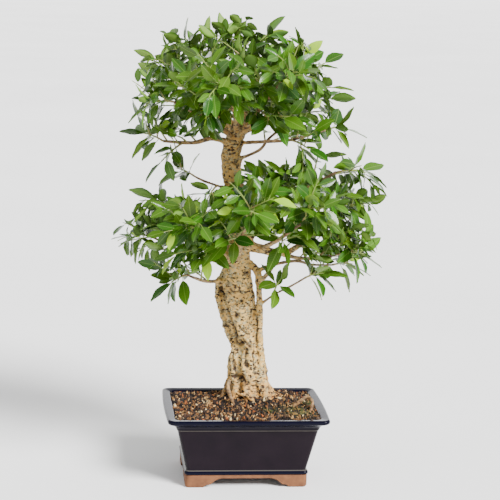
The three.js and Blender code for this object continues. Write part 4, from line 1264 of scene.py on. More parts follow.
def carve(places, normals):
    """Presses the creases and knots into the bark, and says how deep in one each place is, where
    the bark is painted dark as shade.
    """
    cut = np.zeros(len(places))
    moved = places.copy()
    across, down, ahead = in_photo(places)
    for half_width, depth, line in CREASES:
        far = np.full(len(places), np.inf)
        for x, y, *_ in smooth_route([[*p, 0, 0] for p in line], CREASE_STEP):
            beside = np.hypot(across - x, down - y)
            # The nearest place to the camera on the line of sight, or else the one beside it
            on_skin = places[np.argmin(ahead + np.where(beside < CREASE_AIM, 0, 1e6 * beside))]
            far = np.minimum(far, np.linalg.norm(places - on_skin, axis=1))
        amount = np.exp(-(far / half_width) ** 2)
        moved -= normals * (amount * depth)[:, None]
        cut = np.maximum(cut, amount)
    return moved, cut


def bark_growth(bark):
    """Raises corky grain on the wood along its normals, deeper where the wood is thick."""
    tree, entry = new_growth("bark_relief", {"Pore": 0.0068, "Depth": 0.0013})
    place = add(tree, "GeometryNodeInputPosition").outputs[0]
    normal = add(tree, "GeometryNodeInputNormal").outputs[0]
    girth = add(tree, "GeometryNodeInputNamedAttribute", {"Name": "girth"},
                data_type="FLOAT").outputs[0]
    fine = add(tree, "ShaderNodeTexNoise",
               {"Vector": place, "Detail": 1.0,
                "Scale": add(tree, "ShaderNodeMath", {0: 1.0, 1: entry["Pore"]},
                             operation="DIVIDE").outputs[0]})
    broad = add(tree, "ShaderNodeTexNoise",
                {"Vector": place, "Scale": per_mm(17), "Detail": 2.0})
    lumps = add(tree, "ShaderNodeMath",
                {0: fine.outputs[0], 1: 1.5, 2: broad.outputs[0]}, operation="MULTIPLY_ADD")
    both = add(tree, "ShaderNodeMath", {0: broad.outputs[0], 1: 0.6, 2: lumps.outputs[0]},
               operation="MULTIPLY_ADD")
    centred = add(tree, "ShaderNodeMath", {0: both.outputs[0], 1: -1.55}, operation="ADD")
    stout = add(tree, "ShaderNodeMapRange",
                {"Value": girth, "From Min": 1.0, "From Max": 18.0, "To Min": 0.25,
                 "To Max": 3.0}).outputs[0]
    deep = add(tree, "ShaderNodeMath", {0: stout, 1: entry["Depth"]}, operation="MULTIPLY")
    rise = add(tree, "ShaderNodeMath", {0: centred.outputs[0], 1: deep.outputs[0]},
               operation="MULTIPLY")
    offset = add(tree, "ShaderNodeVectorMath", {0: normal, "Scale": rise.outputs[0]},
                 operation="SCALE")
    kept = add(tree, "GeometryNodeStoreNamedAttribute",
               {"Geometry": entry["Geometry"], "Name": "relief", "Value": fine.outputs[0]},
               data_type="FLOAT", domain="POINT")
    raised = add(tree, "GeometryNodeSetPosition",
                 {"Geometry": kept.outputs[0], "Offset": offset.outputs[0]})
    smooth = add(tree, "GeometryNodeSetShadeSmooth", {"Geometry": raised.outputs[0]})
    real = add(tree, "GeometryNodeRealizeInstances", {"Geometry": smooth.outputs[0]})
    dressed = add(tree, "GeometryNodeSetMaterial",
                  {"Geometry": real.outputs[0], "Material": bark})
    add(tree, "NodeGroupOutput", {"Geometry": dressed.outputs[0]})
    return tree


def stem_curves(tree, geometry, sides):
    """Nodes that turn chains of edges into tubes by their thickness attribute."""
    thickness = add(tree, "GeometryNodeInputNamedAttribute", {"Name": "thickness"},
                    data_type="FLOAT")
    lines = add(tree, "GeometryNodeMeshToCurve", {"Mesh": geometry})
    ring = add(tree, "GeometryNodeCurvePrimitiveCircle", {"Resolution": sides, "Radius": 1.0})
    return add(tree, "GeometryNodeCurveToMesh",
               {"Curve": lines.outputs[0], "Profile Curve": ring.outputs[0],
                "Scale": thickness.outputs[0], "Fill Caps": True})


def tube_growth():
    """Chains of edges to plain round wood."""
    tree, entry = new_growth("round_wood", {"Sides": 10})
    tubes = stem_curves(tree, entry["Geometry"], entry["Sides"])
    real = add(tree, "GeometryNodeRealizeInstances", {"Geometry": tubes.outputs[0]})
    add(tree, "NodeGroupOutput", {"Geometry": real.outputs[0]})
    return tree


def chain_object(name, chains):
    """Object of edge chains from rows of x, y, z and radius."""
    points, edges, thickness = [], [], []
    for chain in chains:
        start = len(points)
        points.extend(chain[:, :3])
        thickness.extend(chain[:, 3] * MM)
        edges.extend((start + i, start + i + 1) for i in range(len(chain) - 1))
    return new_object(name, points, (), edges, {"thickness": thickness})


def make_wood(settings):
    """Trunk, roots, aerial stem and boughs, grown together, with corky bark."""
    routes = thick_wood()
    parts = [tube(routes[0], TRUNK_SIDES, trunk_lobes)]
    parts += [tube(route, ROOT_SIDES) for route in routes[1:]]
    base = new_object("wood_blank", *joined_meshes(parts))
    remesh = base.modifiers.new("one_skin", "REMESH")
    remesh.mode = "VOXEL"
    remesh.voxel_size = settings.skin_grain
    remesh.use_smooth_shade = True
    softened = base.modifiers.new("softened", "SMOOTH")
    softened.factor = 0.5
    softened.iterations = 4
    body = settled(base, "wood_body")

    thin = [rows[reach > COLLAR_REACH - COLLAR_OVERLAP] for rows, reach in bough_runs()]
    lines = chain_object("bough_lines", [rows for rows in thin if len(rows) > 1])
    boughs = grow(lines, "bough_tubes", tube_growth(), sides=BOUGH_SIDES)
    wood = new_object("wood_whole", *joined_meshes([mesh_lists(body), mesh_lists(boughs)]))
    bpy.data.objects.remove(body)
    bpy.data.objects.remove(boughs)
    places = np.array([v.co for v in wood.data.vertices]) / MM
    normals = np.array([v.normal for v in wood.data.vertices])
    girth = nearest_girth(places, routes + [rows for rows in thin if len(rows)])
    moved, cut = carve(places, normals)
    wood.data.vertices.foreach_set("co", (moved * MM).ravel())
    # The cut values say where the bark is painted dark as shade in the creases
    for key, values in (("girth", girth), ("cut", cut)):
        wood.data.attributes.new(key, "FLOAT", "POINT").data.foreach_set("value", values)
    wood.data.update()
    tree = bark_growth(ficus_bark(settings))
    piece = grow(wood, "barked_wood", tree, depth=settings.relief)
    finish_piece(piece, "bark", "tree_wood")


def mesh_lists(piece):
    """An object's points in millimetres and its faces."""
    return ([np.array(v.co) / MM for v in piece.data.vertices],
            [tuple(face.vertices) for face in piece.data.polygons])


class Curve:
    """Quadratic curve from a start over a bend to a tip."""

    def __init__(self, start, bend, tip):
        self.ends = [np.array(p, float) for p in (start, bend, tip)]

    def point(self, t):
        a, b, c = self.ends
        return a * (1 - t) ** 2 + b * 2 * t * (1 - t) + c * t * t

    def tangent(self, t):
        low, high = max(0.0, t - 1e-4), min(1.0, t + 1e-4)
        return unit(self.point(high) - self.point(low))


def part_way(points, share):
    """A point part of the way along a route of straight legs."""
    points = np.array(points, float)
    legs = np.linalg.norm(np.diff(points, axis=0), axis=1)
    left = share * legs.sum()
    for i, leg in enumerate(legs):
        if left <= leg:
            return points[i] + (points[i + 1] - points[i]) * left / leg
        left -= leg
    return points[-1]


def shoots():
    """Every leafy shoot: it leaves its bough, bends up and ends at the spray's tip."""
    made = []
    for name, _, route, sprays in BOUGHS:
        for i, (share, *tip) in enumerate(sprays):
            start = part_way(route, share)
            tip = np.array(tip, float)
            bend = (start + tip) / 2 + UP * np.linalg.norm(tip - start) * SHOOT_ARCH
            at_end = share == 1
            made.append({
                "name": "spray_%s_%d" % (name, i + 1),
                "route": route,
                "first": i == 0,
                "at_end": at_end,
                "curve": Curve(start, bend, tip),
                "bare": BARE_AT_END if at_end else BARE_AT_SIDE,
                "count": LEAVES_AT_END if at_end else LEAVES_AT_SIDE,
            })
    return made


def leaf_samples(leaf):
    """Points spread over a leaf, by which it is kept clear of its neighbours."""
    side = unit(np.cross(leaf["direction"], leaf["face"]))
    length = leaf["length"]
    return (leaf["base"] + leaf["direction"] * length * SPOT_SHARES
            - leaf["face"] * length * leaf["curl"] * SPOT_SHARES ** 2
            + side * SPOT_ACROSS * leaf["width"])


def camera_axes():
    """The camera's right, up and forward directions."""
    yaw, pitch, roll = (math.radians(a) for a in (CAMERA_YAW, CAMERA_PITCH, CAMERA_ROLL))
    ahead = np.array([math.sin(yaw) * math.cos(pitch), math.cos(yaw) * math.cos(pitch),
                      -math.sin(pitch)])
    level = np.array([math.cos(yaw), -math.sin(yaw), 0])
    above = np.cross(level, ahead)
    return (math.cos(roll) * level + math.sin(roll) * above,
            math.cos(roll) * above - math.sin(roll) * level, ahead)


def in_photo(places):
    """Where places lie in the photograph's pixels, and how far they are from the camera."""
    right, over, ahead = camera_axes()
    off = places - np.array(CAMERA_PLACE)
    depth = off @ ahead
    focal = PHOTO_SIZE * LENS / SENSOR_WIDTH / depth
    return PHOTO_SIZE / 2 + focal * (off @ right), PHOTO_SIZE / 2 - focal * (off @ over), depth


def inside_crown(samples):
    """Whether a leaf stays in the frame's box and, from the camera, in the crown's outline."""
    low = np.array(CAD_BOX[0]) / MM - BOX_MARGIN
    high = np.array(CAD_BOX[1]) / MM + BOX_MARGIN
    if (samples < low).any() or (samples > high).any():
        return False
    across, down, _ = in_photo(samples)
    outline = np.array(CROWN_OUTLINE, float)
    inside = np.zeros(len(samples), bool)
    for (x1, y1), (x2, y2) in zip(outline, np.roll(outline, -1, axis=0)):
        crosses = (y1 > down) != (y2 > down)
        at = x1 + (down - y1) / (y2 - y1 if y2 != y1 else 1e-9) * (x2 - x1)
        inside ^= crosses & (across < at)
    return bool(inside.all())


class Room:
    """Points that leaves stay clear of, each with its own distance."""

    def __init__(self):
        self.points = np.empty((0, 3))
        self.limits = np.empty(0)

    def fill(self, points, distance):
        points = np.atleast_2d(points)
        self.points = np.concatenate([self.points, points])
        self.limits = np.concatenate([self.limits, np.full(len(points), distance) ** 2
                                      if np.isscalar(distance) else np.asarray(distance) ** 2])

    def near(self, middle, reach=70):
        """The part of it within reach of a leaf's middle, to test fewer points."""
        close = ((self.points - middle) ** 2).sum(axis=1) < reach * reach
        part = Room()
        part.points, part.limits = self.points[close], self.limits[close]
        return part

    def clears(self, samples, scale=1.0):
        if not len(self.points):
            return True
        apart = ((samples[:, None, :] - self.points[None]) ** 2).sum(axis=2)
        return bool((apart > self.limits * scale).all())


def wood_room():
    """Every few millimetres of wood, as points that leaves keep clear of."""
    room = Room()

    def fill(route, radius_at):
        route = np.array(route, float)
        for i in range(len(route) - 1):
            steps = math.ceil(np.linalg.norm(route[i + 1] - route[i]) / SAMPLE_STEP)
            for k in range(steps + 1):
                point = route[i] + (route[i + 1] - route[i]) * k / steps
                room.fill(point, radius_at(i + k / steps) + WOOD_CLEARANCE)

    for rows in (TRUNK, AERIAL_STEM, CLINGING_ROOT):
        fill([row[:3] for row in rows],
             lambda i, rows=rows: rows[math.floor(i + 0.5)][3] * LOBE_ROOM)
    for _, (thick, thin), route, _ in BOUGHS:
        fill(route, lambda i, a=thick, b=thin, n=len(route) - 1: a + (b - a) * i / n)
    return room


def leaf_at(curve, share, turn, spread, sag, face, size, slim, curl):
    """A leaf from its place on a shoot, its turn round it and its angle to it."""
    stem = curve.tangent(share)
    side = unit(np.cross(stem, UP))
    other = np.cross(side, stem)
    direction = (stem * math.cos(spread) + side * math.sin(spread) * math.cos(turn)
                 + other * math.sin(spread) * math.sin(turn))
    direction = unit(direction - UP * sag)
    face = unit(face - direction * face.dot(direction))
    return {"base": curve.point(share), "direction": direction, "face": face,
            "length": LEAF_LENGTH * size, "width": LEAF_WIDTH * size * slim, "curl": curl}


def first_fit(curve, share, turn, fits, *shape):
    """A leaf at the first turn round its stem at which it fits, with its sample points."""
    for swing in SWINGS:
        leaf = leaf_at(curve, share, math.radians(turn + swing), *shape)
        samples = leaf_samples(leaf)
        if fits(samples):
            return leaf, samples
    return None, None


def outward(base):
    """Away from the middle of the crown, level."""
    return unit(np.array([base[0], base[1] - CROWN_MIDDLE_Y, 0]))


def main_leaves(shoot, taken, numbers):
    """The leaves that the frame's own sprays carry, by the same rule and draws."""
    curve, bare, count = shoot["curve"], shoot["bare"], shoot["count"]
    leaves, own = [], Room()
    start = next(numbers) * 360
    near = taken.near(curve.point(0.6), 150)
    for k in range(count):
        share = bare + (1 - bare) * (0.1 + 0.9 * k / (count - 1))
        spread = SPREAD["tip"]
        if k < count - 1:
            spread = (SPREAD["base"] - SPREAD["closing"] * k
                      + SPREAD["vary"] * (next(numbers) - 0.5))
        size, slim, curl = [least + extra * next(numbers)
                            for least, extra in (LEAF_SIZE, LEAF_SLIM, LEAF_CURL)]
        lean = np.array([next(numbers) - 0.5 for _ in range(3)])
        face = (UP * FACING["up"] + outward(curve.point(share)) * FACING["out"]
                + lean * FACING["lean"])
        leaf, samples = first_fit(
            curve, share, start + k * LEAF_TURN,
            lambda spots: near.clears(spots) and own.clears(spots),
            math.radians(spread), SAG, face, size, slim, curl)
        if leaf:
            leaves.append(leaf)
            own.fill(samples, OWN_CLEARANCE)
    return leaves, own


def extra_leaves(curve, count, taken, random):
    """More leaves on a side twig, which hang and face outwards more than the first ones."""
    leaves = []
    start = random.uniform(0, 360)
    near = taken.near(curve.point(0.6), 120)
    for k in range(count):
        share = TWIG_BARE + (1 - TWIG_BARE) * (k + 0.3) / (count - 0.7)
        spread = TWIG_LEAF_TIP
        if k < count - 1:
            spread = random.uniform(*TWIG_LEAF["spread"]) - TWIG_LEAF_CLOSING * k
        size, slim, curl, sag = [random.uniform(*TWIG_LEAF[key])
                                 for key in ("size", "slim", "curl", "sag")]
        lean = random.uniform(-TWIG_FACING["lean"], TWIG_FACING["lean"], 3)
        face = UP * TWIG_FACING["up"] + outward(curve.point(share)) * TWIG_FACING["out"] + lean
        leaf, samples = first_fit(
            curve, share, start + k * LEAF_TURN,
            lambda spots: inside_crown(spots) and near.clears(spots),
            math.radians(spread), sag, face, size, slim, curl)
        if leaf:
            leaves.append(leaf)
            taken.fill(samples, EXTRA_CLEARANCE)
            near.fill(samples, EXTRA_CLEARANCE)
    return leaves


def side_twigs(shoot, count, random):
    """Side twigs of a shoot, and on a bough's first shoot those of the bough as well."""
    curve, route = shoot["curve"], shoot["route"]
    starts = []
    turn = random.uniform(0, 2 * math.pi)
    for share in np.linspace(*SHOOT_TWIGS, count):
        starts.append((curve.point(share), curve.tangent(share), turn, STEM_RADIUS * 0.75))
        turn += math.radians(LEAF_TURN)
    if shoot["first"]:
        for share in np.linspace(*BOUGH_TWIGS):
            stem = unit(part_way(route, min(1, share + 0.05)) - part_way(route, share - 0.05))
            starts.append((part_way(route, share), stem, turn, STEM_RADIUS))
            turn += math.radians(LEAF_TURN)
    twigs = []
    for start, stem, turn, radius in starts:
        side = unit(np.cross(stem, UP))
        other = np.cross(side, stem)
        way = unit(stem * TWIG_WAY["along"] + side * math.cos(turn) * TWIG_WAY["across"]
                   + other * math.sin(turn) * TWIG_WAY["over"] + UP * TWIG_WAY["up"])
        tip = start + way * random.uniform(*TWIG_LENGTH)
        crook = random.uniform(-TWIG_CROOK, TWIG_CROOK, 3)
        bend = (start + tip) / 2 + UP * TWIG_ARCH + crook
        if inside_crown(np.array([tip + way * BUD_LENGTH])):
            twigs.append((Curve(start, bend, tip), radius))
    return twigs


def stem_rows(curve, thick, thin, youth, steps=9):
    """A stem's rows of x, y, z, radius and youth, with leaf scars and a bud at its tip."""
    rows = []
    for k in range(steps + 1):
        t = k / steps
        rows.append([*curve.point(t), (thick + (thin - thick) * t) * KNUCKLES[k % 2],
                     youth[0] + (youth[1] - youth[0]) * t])
    tip, way = curve.point(1.0), curve.tangent(1.0)
    for far, girth in BUD_ROWS:
        rows.append([*(tip + way * far), thin * girth, BUD_YOUTH])
    return np.array(rows)


def leaf_models(material):
    """Unit leaves, each curled and folded its own way: petiole, blade and drip tip."""
    models = bpy.data.collections.new("leaf_models")
    bpy.context.scene.collection.children.link(models)
    for fold in FOLDS:
        for curl in CURLS:
            models.objects.link(leaf_model("leaf_%02d" % len(models.objects), curl, fold,
                                           material))
    return models


def leaf_model(name, curl, fold, material):
    """One leaf of unit length and width. Y runs along it and Z out of its upper side."""
    thick = LEAF_THICKNESS / LEAF_LENGTH
    fold_lift = fold * LEAF_WIDTH / LEAF_LENGTH
    points, below, uv = [], [], []

    def put(x, y, z, under):
        points.append((x, y, z - curl * y * y))
        below.append(under)
        uv.append((0.5 + x, y))
        return len(points) - 1

    def half_at(t):
        return (0.46 * math.sin(math.pi * t ** 0.92) ** 0.72 * (1 - 0.2 * t ** 8)
                * (1 - 0.75 * (1 - t) ** 10))

    faces = []
    stalk = []
    for y, r in ((-0.01, 0.03), (0.07, 0.022), (PETIOLE_SHARE + 0.02, 0.02)):
        ring = []
        for k in range(4):
            angle = math.pi / 4 + k * math.pi / 2
            ring.append(put(r * math.cos(angle), y,
                            r * math.sin(angle) * LEAF_WIDTH / LEAF_LENGTH - thick, 0.0))
        stalk.append(ring)
    for a, b in zip(stalk, stalk[1:]):
        for k in range(4):
            faces.append((a[k], b[k], b[(k + 1) % 4], a[(k + 1) % 4]))
    faces.append(tuple(stalk[0]))
    faces.append(tuple(reversed(stalk[-1])))
    rows = []
    for r, t in enumerate(BLADE_ROWS):
        y = PETIOLE_SHARE + (1 - PETIOLE_SHARE) * t
        half = half_at(t)
        wave = 0.012 * math.sin(r * 2.1 + curl * 40)
        lift = fold_lift * half * 0.42
        left = put(-half, y, fold_lift * half + wave, 0.0)
        right = put(half, y, fold_lift * half - wave, 0.0)
        upper = [put(x * half, y, z, 0.0) for x, z in ((-0.5, lift), (0, 0), (0.5, lift))]
        lower = [put(x * half, y, z - thick, 1.0)
                 for x, z in ((-0.5, lift), (0, -thick), (0.5, lift))]
        rows.append(([left] + upper + [right], [left] + lower + [right]))
    for (top_a, low_a), (top_b, low_b) in zip(rows, rows[1:]):
        for k in range(4):
            faces.append((top_a[k], top_a[k + 1], top_b[k + 1], top_b[k]))
            faces.append((low_a[k], low_b[k], low_b[k + 1], low_a[k + 1]))
    tip = put(0, 1.0, -thick * 0.5, 0.5)
    top_end, low_end = rows[-1]
    for k in range(4):
        faces.append((top_end[k], top_end[k + 1], tip))
        faces.append((low_end[k + 1], low_end[k], tip))
    top_start, low_start = rows[0]
    faces.append(tuple(top_start[::-1]) + tuple(low_start[1:-1]))
    mesh = bpy.data.meshes.new(name)
    mesh.from_pydata(points, [], faces)
    layer = mesh.uv_layers.new(name="UVMap")
    for loop in mesh.loops:
        layer.data[loop.index].uv = uv[loop.vertex_index]
    mesh.attributes.new("below", "FLOAT", "POINT").data.foreach_set("value", below)
    mesh.attributes.new("blade", "FLOAT", "POINT").data.foreach_set("value", [1.0] * len(points))
    for face in mesh.polygons:
        face.use_smooth = True
    mesh.set_sharp_from_angle(angle=math.radians(70))
    mesh.materials.append(material)
    return bpy.data.objects.new(name, mesh)


def spray_growth(models, shoot_material, leaf_material):
    """Stems from chains of edges and leaves on loose points, in one tree for all sprays."""
    tree, entry = new_growth("leafy_spray", {"Sides": 6})
    is_leaf, model, blade = [
        add(tree, "GeometryNodeInputNamedAttribute", {"Name": key}, data_type="FLOAT").outputs[0]
        for key in ("is_leaf", "model", "blade")]
    direction, face, size = [
        add(tree, "GeometryNodeInputNamedAttribute", {"Name": key},
            data_type="FLOAT_VECTOR").outputs[0] for key in ("direction", "face", "size")]
    parted = add(tree, "GeometryNodeSeparateGeometry",
                 {"Geometry": entry["Geometry"], "Selection": is_leaf})
    tubes = stem_curves(tree, parted.outputs["Inverted"], entry["Sides"])
    turn = add(tree, "FunctionNodeAxesToRotation",
               {"Primary Axis": direction, "Secondary Axis": face},
               primary_axis="Y", secondary_axis="Z")
    source = add(tree, "GeometryNodeCollectionInfo",
                 {"Collection": models, "Separate Children": True, "Reset Children": True})
    leaves = add(tree, "GeometryNodeInstanceOnPoints",
                 {"Points": parted.outputs["Selection"], "Instance": source.outputs[0],
                  "Pick Instance": True, "Instance Index": model,
                  "Rotation": turn.outputs[0], "Scale": size})
    both = add(tree, "GeometryNodeJoinGeometry", {"Geometry": tubes.outputs[0]})
    tree.links.new(leaves.outputs[0], both.inputs[0])
    real = add(tree, "GeometryNodeRealizeInstances", {"Geometry": both.outputs[0]})
    stems = add(tree, "GeometryNodeSetMaterial",
                {"Geometry": real.outputs[0], "Material": shoot_material})
    dressed = add(tree, "GeometryNodeSetMaterial",
                  {"Geometry": stems.outputs[0], "Selection": blade,
                   "Material": leaf_material})
    add(tree, "NodeGroupOutput", {"Geometry": dressed.outputs[0]})
    return tree


def spray_object(name, chains, leaves, random):
    """Chains of edges for the stems and a loose point for each leaf."""
    points, edges = [], []
    rows = {key: [] for key in ("thickness", "youth", "tint", "model", "is_leaf")}
    vectors = {key: [] for key in ("direction", "face", "size")}
    for chain in chains:
        start = len(points)
        edges.extend((start + i, start + i + 1) for i in range(len(chain) - 1))
        for x, y, z, radius, youth in chain:
            points.append((x, y, z))
            for key, value in zip(rows, (radius * MM, youth, 0.5, 0, 0)):
                rows[key].append(value)
            for key in vectors:
                vectors[key].append((0, 0, 1))
    for leaf in leaves:
        points.append(leaf["base"])
        curl = int(np.argmin([abs(leaf["curl"] - c) for c in CURLS]))
        model = curl + len(CURLS) * int(random.integers(len(FOLDS)))
        youth = random.uniform(0.5, 1) if leaf["young"] else random.uniform(0, 0.16)
        for key, value in zip(rows, (0, youth, random.beta(1.6, 1.8), model, 1)):
            rows[key].append(value)
        vectors["direction"].append(leaf["direction"])
        vectors["face"].append(leaf["face"])
        vectors["size"].append(np.array([leaf["width"], leaf["length"], leaf["length"]]) * MM)
    return new_object(name, points, (), edges, {**rows, **vectors})


def room_with(*groups):
    """Room taken by several groups of points, each group with its distance or distances."""
    room = Room()
    for points, distance in groups:
        room.fill(points, distance)
    return room


def make_sprays(settings):
    """Every leafy spray: the frame's own leaves, then more on side twigs."""
    numbers = seeded(SEED)
    random = np.random.default_rng(SEED)
    grown = shoots()
    wood = wood_room()
    wood_taken = (wood.points, np.sqrt(wood.limits))
    stems = [np.array([shoot["curve"].point(0.1 + 0.9 * i / SHOOT_STEPS)
                       for i in range(SHOOT_STEPS + 1)]) for shoot in grown]
    placed = Room()
    for i, shoot in enumerate(grown):
        others = np.concatenate(stems[:i] + stems[i + 1:])
        taken = room_with(wood_taken, (placed.points, LEAF_CLEARANCE), (others, STEM_CLEARANCE))
        shoot["leaves"], own = main_leaves(shoot, taken, numbers)
        placed.fill(own.points, LEAF_CLEARANCE)
    taken = room_with(wood_taken, (placed.points, EXTRA_CLEARANCE),
                      (np.concatenate(stems), SHOOT_CLEARANCE))
    for shoot in grown:
        count = settings.twigs_at_end if shoot["at_end"] else settings.twigs_at_side
        shoot["side"] = side_twigs(shoot, count, random)
        for curve, _ in shoot["side"]:
            spots = [curve.point(t) for t in np.linspace(TWIG_BARE, 1, 6)]
            taken.fill(spots, TWIG_CLEARANCE)
    for shoot in grown:
        for curve, _ in shoot["side"]:
            shoot["leaves"] += extra_leaves(curve, settings.leaves_per_twig, taken, random)
    leaf_skin = ficus_leaf(settings)
    models = leaf_models(leaf_skin)
    tree = spray_growth(models, green_shoot(), leaf_skin)
    for shoot in grown:
        chains = [stem_rows(shoot["curve"], STEM_RADIUS * 1.2, STEM_RADIUS * 0.7, (0.1, 0.8))]
        chains += [stem_rows(curve, radius, radius * 0.6, (0.3, 0.9), 6)
                   for curve, radius in shoot["side"]]
        for leaf in shoot["leaves"]:
            leaf["young"] = random.random() < settings.young_share
        base = spray_object(shoot["name"] + "_plan", chains, shoot["leaves"], random)
        piece = grow(base, "leaves_" + shoot["name"], tree, sides=6)
        finish_piece(piece, "leaf", shoot["name"])
    remove_models(models)


def dress_drain_meshes():
    """The plastic meshes keep their CAD shape and get their finish."""
    plastic = moulded_mesh_plastic()
    for side in ("left", "right"):
        node = frame["nodes"]["drain_mesh_" + side]
        node.data.materials.clear()
        node.data.materials.append(plastic)


def make_stage(settings):
    """White floor and surroundings, a soft key light, a panel behind and the camera."""
    reach = settings.floor_reach / MM
    corners = [(-reach, -reach, 0), (reach, -reach, 0), (reach, reach, 0), (-reach, reach, 0)]
    floor = new_object("studio_floor", corners, [(0, 1, 2, 3)])
    floor.data.materials.append(studio_white())
    world = bpy.data.worlds.new("studio_surroundings")
    world.use_nodes = True
    world.node_tree.nodes["Background"].inputs["Color"].default_value = (1, 1, 1, 1)
    world.node_tree.nodes["Background"].inputs["Strength"].default_value = settings.surround
    bpy.context.scene.world = world
    sun = bpy.data.lights.new("key_light", "SUN")
    sun.energy = settings.key
    sun.angle = math.radians(KEY_SOFTNESS)
    lamp = bpy.data.objects.new("key_light", sun)
    lamp.rotation_euler = [math.radians(turn) for turn in KEY_TURN]
    bpy.context.scene.collection.objects.link(lamp)
    panel = bpy.data.lights.new("back_panel", "AREA")
    panel.shape = "RECTANGLE"
    panel.size, panel.size_y = PANEL_SIZE
    panel.energy = settings.panel
    softbox = bpy.data.objects.new("back_panel", panel)
    softbox.location = PANEL_PLACE
    softbox.rotation_euler = (math.radians(PANEL_TILT), 0, 0)
    softbox.visible_camera = False
    bpy.context.scene.collection.objects.link(softbox)

    right, over, ahead = camera_axes()
    data = bpy.data.cameras.new("photo_camera")
    data.lens = LENS
    data.sensor_width = SENSOR_WIDTH
    data.sensor_fit = "HORIZONTAL"
    data.clip_end = VIEW_DEPTH
    camera = bpy.data.objects.new("photo_camera", data)
    bpy.context.scene.collection.objects.link(camera)
    camera.matrix_world = Matrix(
        [[right[i], over[i], -ahead[i], CAMERA_PLACE[i] * MM] for i in range(3)]
        + [[0, 0, 0, 1]])
    bpy.context.scene.camera = camera


class BonsaiPotSettings(bpy.types.PropertyGroup):
    pooled_glaze: bpy.props.FloatVectorProperty(
        name="Pooled glaze", description="Colour of the glaze where it lies thick",
        subtype="COLOR", min=0, max=1, default=linear("#040415"))


class BonsaiSoilSettings(bpy.types.PropertyGroup):
    grain_size: bpy.props.FloatProperty(
        name="Grain size", description="Size of a middling granule", unit="LENGTH",
        default=0.0076)
    grain_spacing: bpy.props.FloatProperty(
        name="Grain spacing", description="Least distance between granules", unit="LENGTH",
        default=0.0033)
    grain_kinds: bpy.props.IntProperty(
        name="Grain kinds", description="How many shapes of granule there are", default=8)
    moss: bpy.props.FloatVectorProperty(
        name="Moss", description="Colour of the moss on the granules", subtype="COLOR",
        min=0, max=1, default=linear("#5C6B28"))


class BonsaiWoodSettings(bpy.types.PropertyGroup):
    skin_grain: bpy.props.FloatProperty(
        name="Skin grain", description="Cell size of the blended wood", unit="LENGTH",
        default=0.0017)
    relief: bpy.props.FloatProperty(
        name="Relief", description="Height of the corky grain", unit="LENGTH", default=0.0013)
    pore_size: bpy.props.FloatProperty(
        name="Pore size", description="Size of the pores in millimetres", default=7.0)
    low_bark: bpy.props.FloatVectorProperty(
        name="Low bark", description="Tint of the bark near the soil", subtype="COLOR",
        min=0, max=1, default=linear("#D6A676"))


class BonsaiLeafSettings(bpy.types.PropertyGroup):
    midrib: bpy.props.FloatVectorProperty(
        name="Midrib", description="Colour of midribs and stalks", subtype="COLOR",
        min=0, max=1, default=linear("#90A858"))
    young_leaf: bpy.props.FloatVectorProperty(
        name="Young leaf", description="Colour of a leaf that has just opened",
        subtype="COLOR", min=0, max=1, default=linear("#96BC2C"))
    underside: bpy.props.FloatVectorProperty(
        name="Underside", description="Colour of a leaf's lower side", subtype="COLOR",
        min=0, max=1, default=linear("#78963E"))
    young_share: bpy.props.FloatProperty(
        name="Young share", description="Share of the leaves that are young", default=0.035,
        subtype="FACTOR")
    twigs_at_end: bpy.props.IntProperty(
        name="Twigs at end", description="Side twigs of a bough's last shoot", default=5)
    twigs_at_side: bpy.props.IntProperty(
        name="Twigs at side", description="Side twigs of a side shoot", default=4)
    leaves_per_twig: bpy.props.IntProperty(
        name="Leaves per twig", description="Leaves that a side twig may carry", default=7)


class BonsaiStageSettings(bpy.types.PropertyGroup):
    floor_reach: bpy.props.FloatProperty(
        name="Floor reach", description="How far the floor runs each way", unit="LENGTH",
        default=60.0)
    surround: bpy.props.FloatProperty(
        name="Surround", description="Brightness of the white surroundings", default=0.95)
    key: bpy.props.FloatProperty(
        name="Key", description="Strength of the key light", default=9.5)
    panel: bpy.props.FloatProperty(
        name="Panel", description="Power of the soft panel behind the tree", default=4200.0)


class BONSAI_OT_pot(bpy.types.Operator):
    """Build the glazed pot on its four unglazed feet"""
    bl_idname = "bonsai.make_pot"
    bl_label = "Make pot"

    def execute(self, context):
        make_pot(context.scene.bonsai_pot)
        return {"FINISHED"}


class BONSAI_OT_drain_meshes(bpy.types.Operator):
    """Finish the plastic meshes over the drain holes"""
    bl_idname = "bonsai.dress_drain_meshes"
    bl_label = "Dress drain meshes"

    def execute(self, context):
        dress_drain_meshes()
        return {"FINISHED"}


class BONSAI_OT_soil(bpy.types.Operator):
    """Fill the pot with fine soil under a skin of granules"""
    bl_idname = "bonsai.make_soil"
    bl_label = "Make soil"

    def execute(self, context):
        make_soil(context.scene.bonsai_soil)
        return {"FINISHED"}


class BONSAI_OT_wood(bpy.types.Operator):
    """Grow the trunk, roots and boughs with their bark"""
    bl_idname = "bonsai.make_wood"
    bl_label = "Make wood"

    def execute(self, context):
        make_wood(context.scene.bonsai_wood)
        return {"FINISHED"}


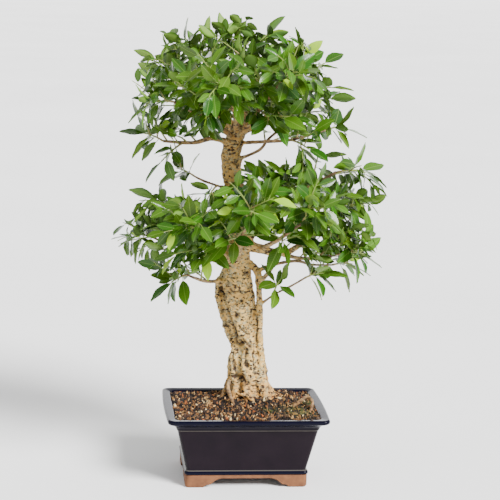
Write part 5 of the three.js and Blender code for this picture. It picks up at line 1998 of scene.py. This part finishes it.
class BONSAI_OT_sprays(bpy.types.Operator):
    """Grow the leafy sprays"""
    bl_idname = "bonsai.make_sprays"
    bl_label = "Make sprays"

    def execute(self, context):
        make_sprays(context.scene.bonsai_leaf)
        return {"FINISHED"}


class BONSAI_OT_stage(bpy.types.Operator):
    """Set the floor, the lights and the camera"""
    bl_idname = "bonsai.make_stage"
    bl_label = "Make stage"

    def execute(self, context):
        make_stage(context.scene.bonsai_stage)
        return {"FINISHED"}


class BONSAI_PT_panel(bpy.types.Panel):
    """Lists the steps that build the bonsai"""
    bl_idname = "BONSAI_PT_panel"
    bl_label = "Ficus bonsai"
    bl_space_type = "VIEW_3D"
    bl_region_type = "UI"
    bl_category = "Bonsai"

    def draw(self, context):
        for group, operator in STEPS:
            box = self.layout.box()
            settings = getattr(context.scene, group, None)
            if settings:
                for key in settings.__annotations__:
                    box.prop(settings, key)
            box.operator(operator.bl_idname)


STEPS = [
    ("bonsai_stage", BONSAI_OT_stage),
    ("bonsai_pot", BONSAI_OT_pot),
    ("", BONSAI_OT_drain_meshes),
    ("bonsai_soil", BONSAI_OT_soil),
    ("bonsai_wood", BONSAI_OT_wood),
    ("bonsai_leaf", BONSAI_OT_sprays),
]

GROUPS = {
    "bonsai_pot": BonsaiPotSettings,
    "bonsai_soil": BonsaiSoilSettings,
    "bonsai_wood": BonsaiWoodSettings,
    "bonsai_leaf": BonsaiLeafSettings,
    "bonsai_stage": BonsaiStageSettings,
}


def register():
    """Adds the settings, the steps and the panel."""
    for kind in (*GROUPS.values(), *(step for _, step in STEPS), BONSAI_PT_panel):
        bpy.utils.register_class(kind)
    for key, kind in GROUPS.items():
        setattr(bpy.types.Scene, key, bpy.props.PointerProperty(type=kind))


def unregister():
    """Takes them out again."""
    for key in GROUPS:
        delattr(bpy.types.Scene, key)
    for kind in (BONSAI_PT_panel, *(step for _, step in STEPS), *GROUPS.values()):
        bpy.utils.unregister_class(kind)


def main():
    """Builds every piece in order."""
    register()
    for _, step in STEPS:
        group, call = step.bl_idname.split(".")
        getattr(getattr(bpy.ops, group), call)()


if __name__ == "__main__":
    main()
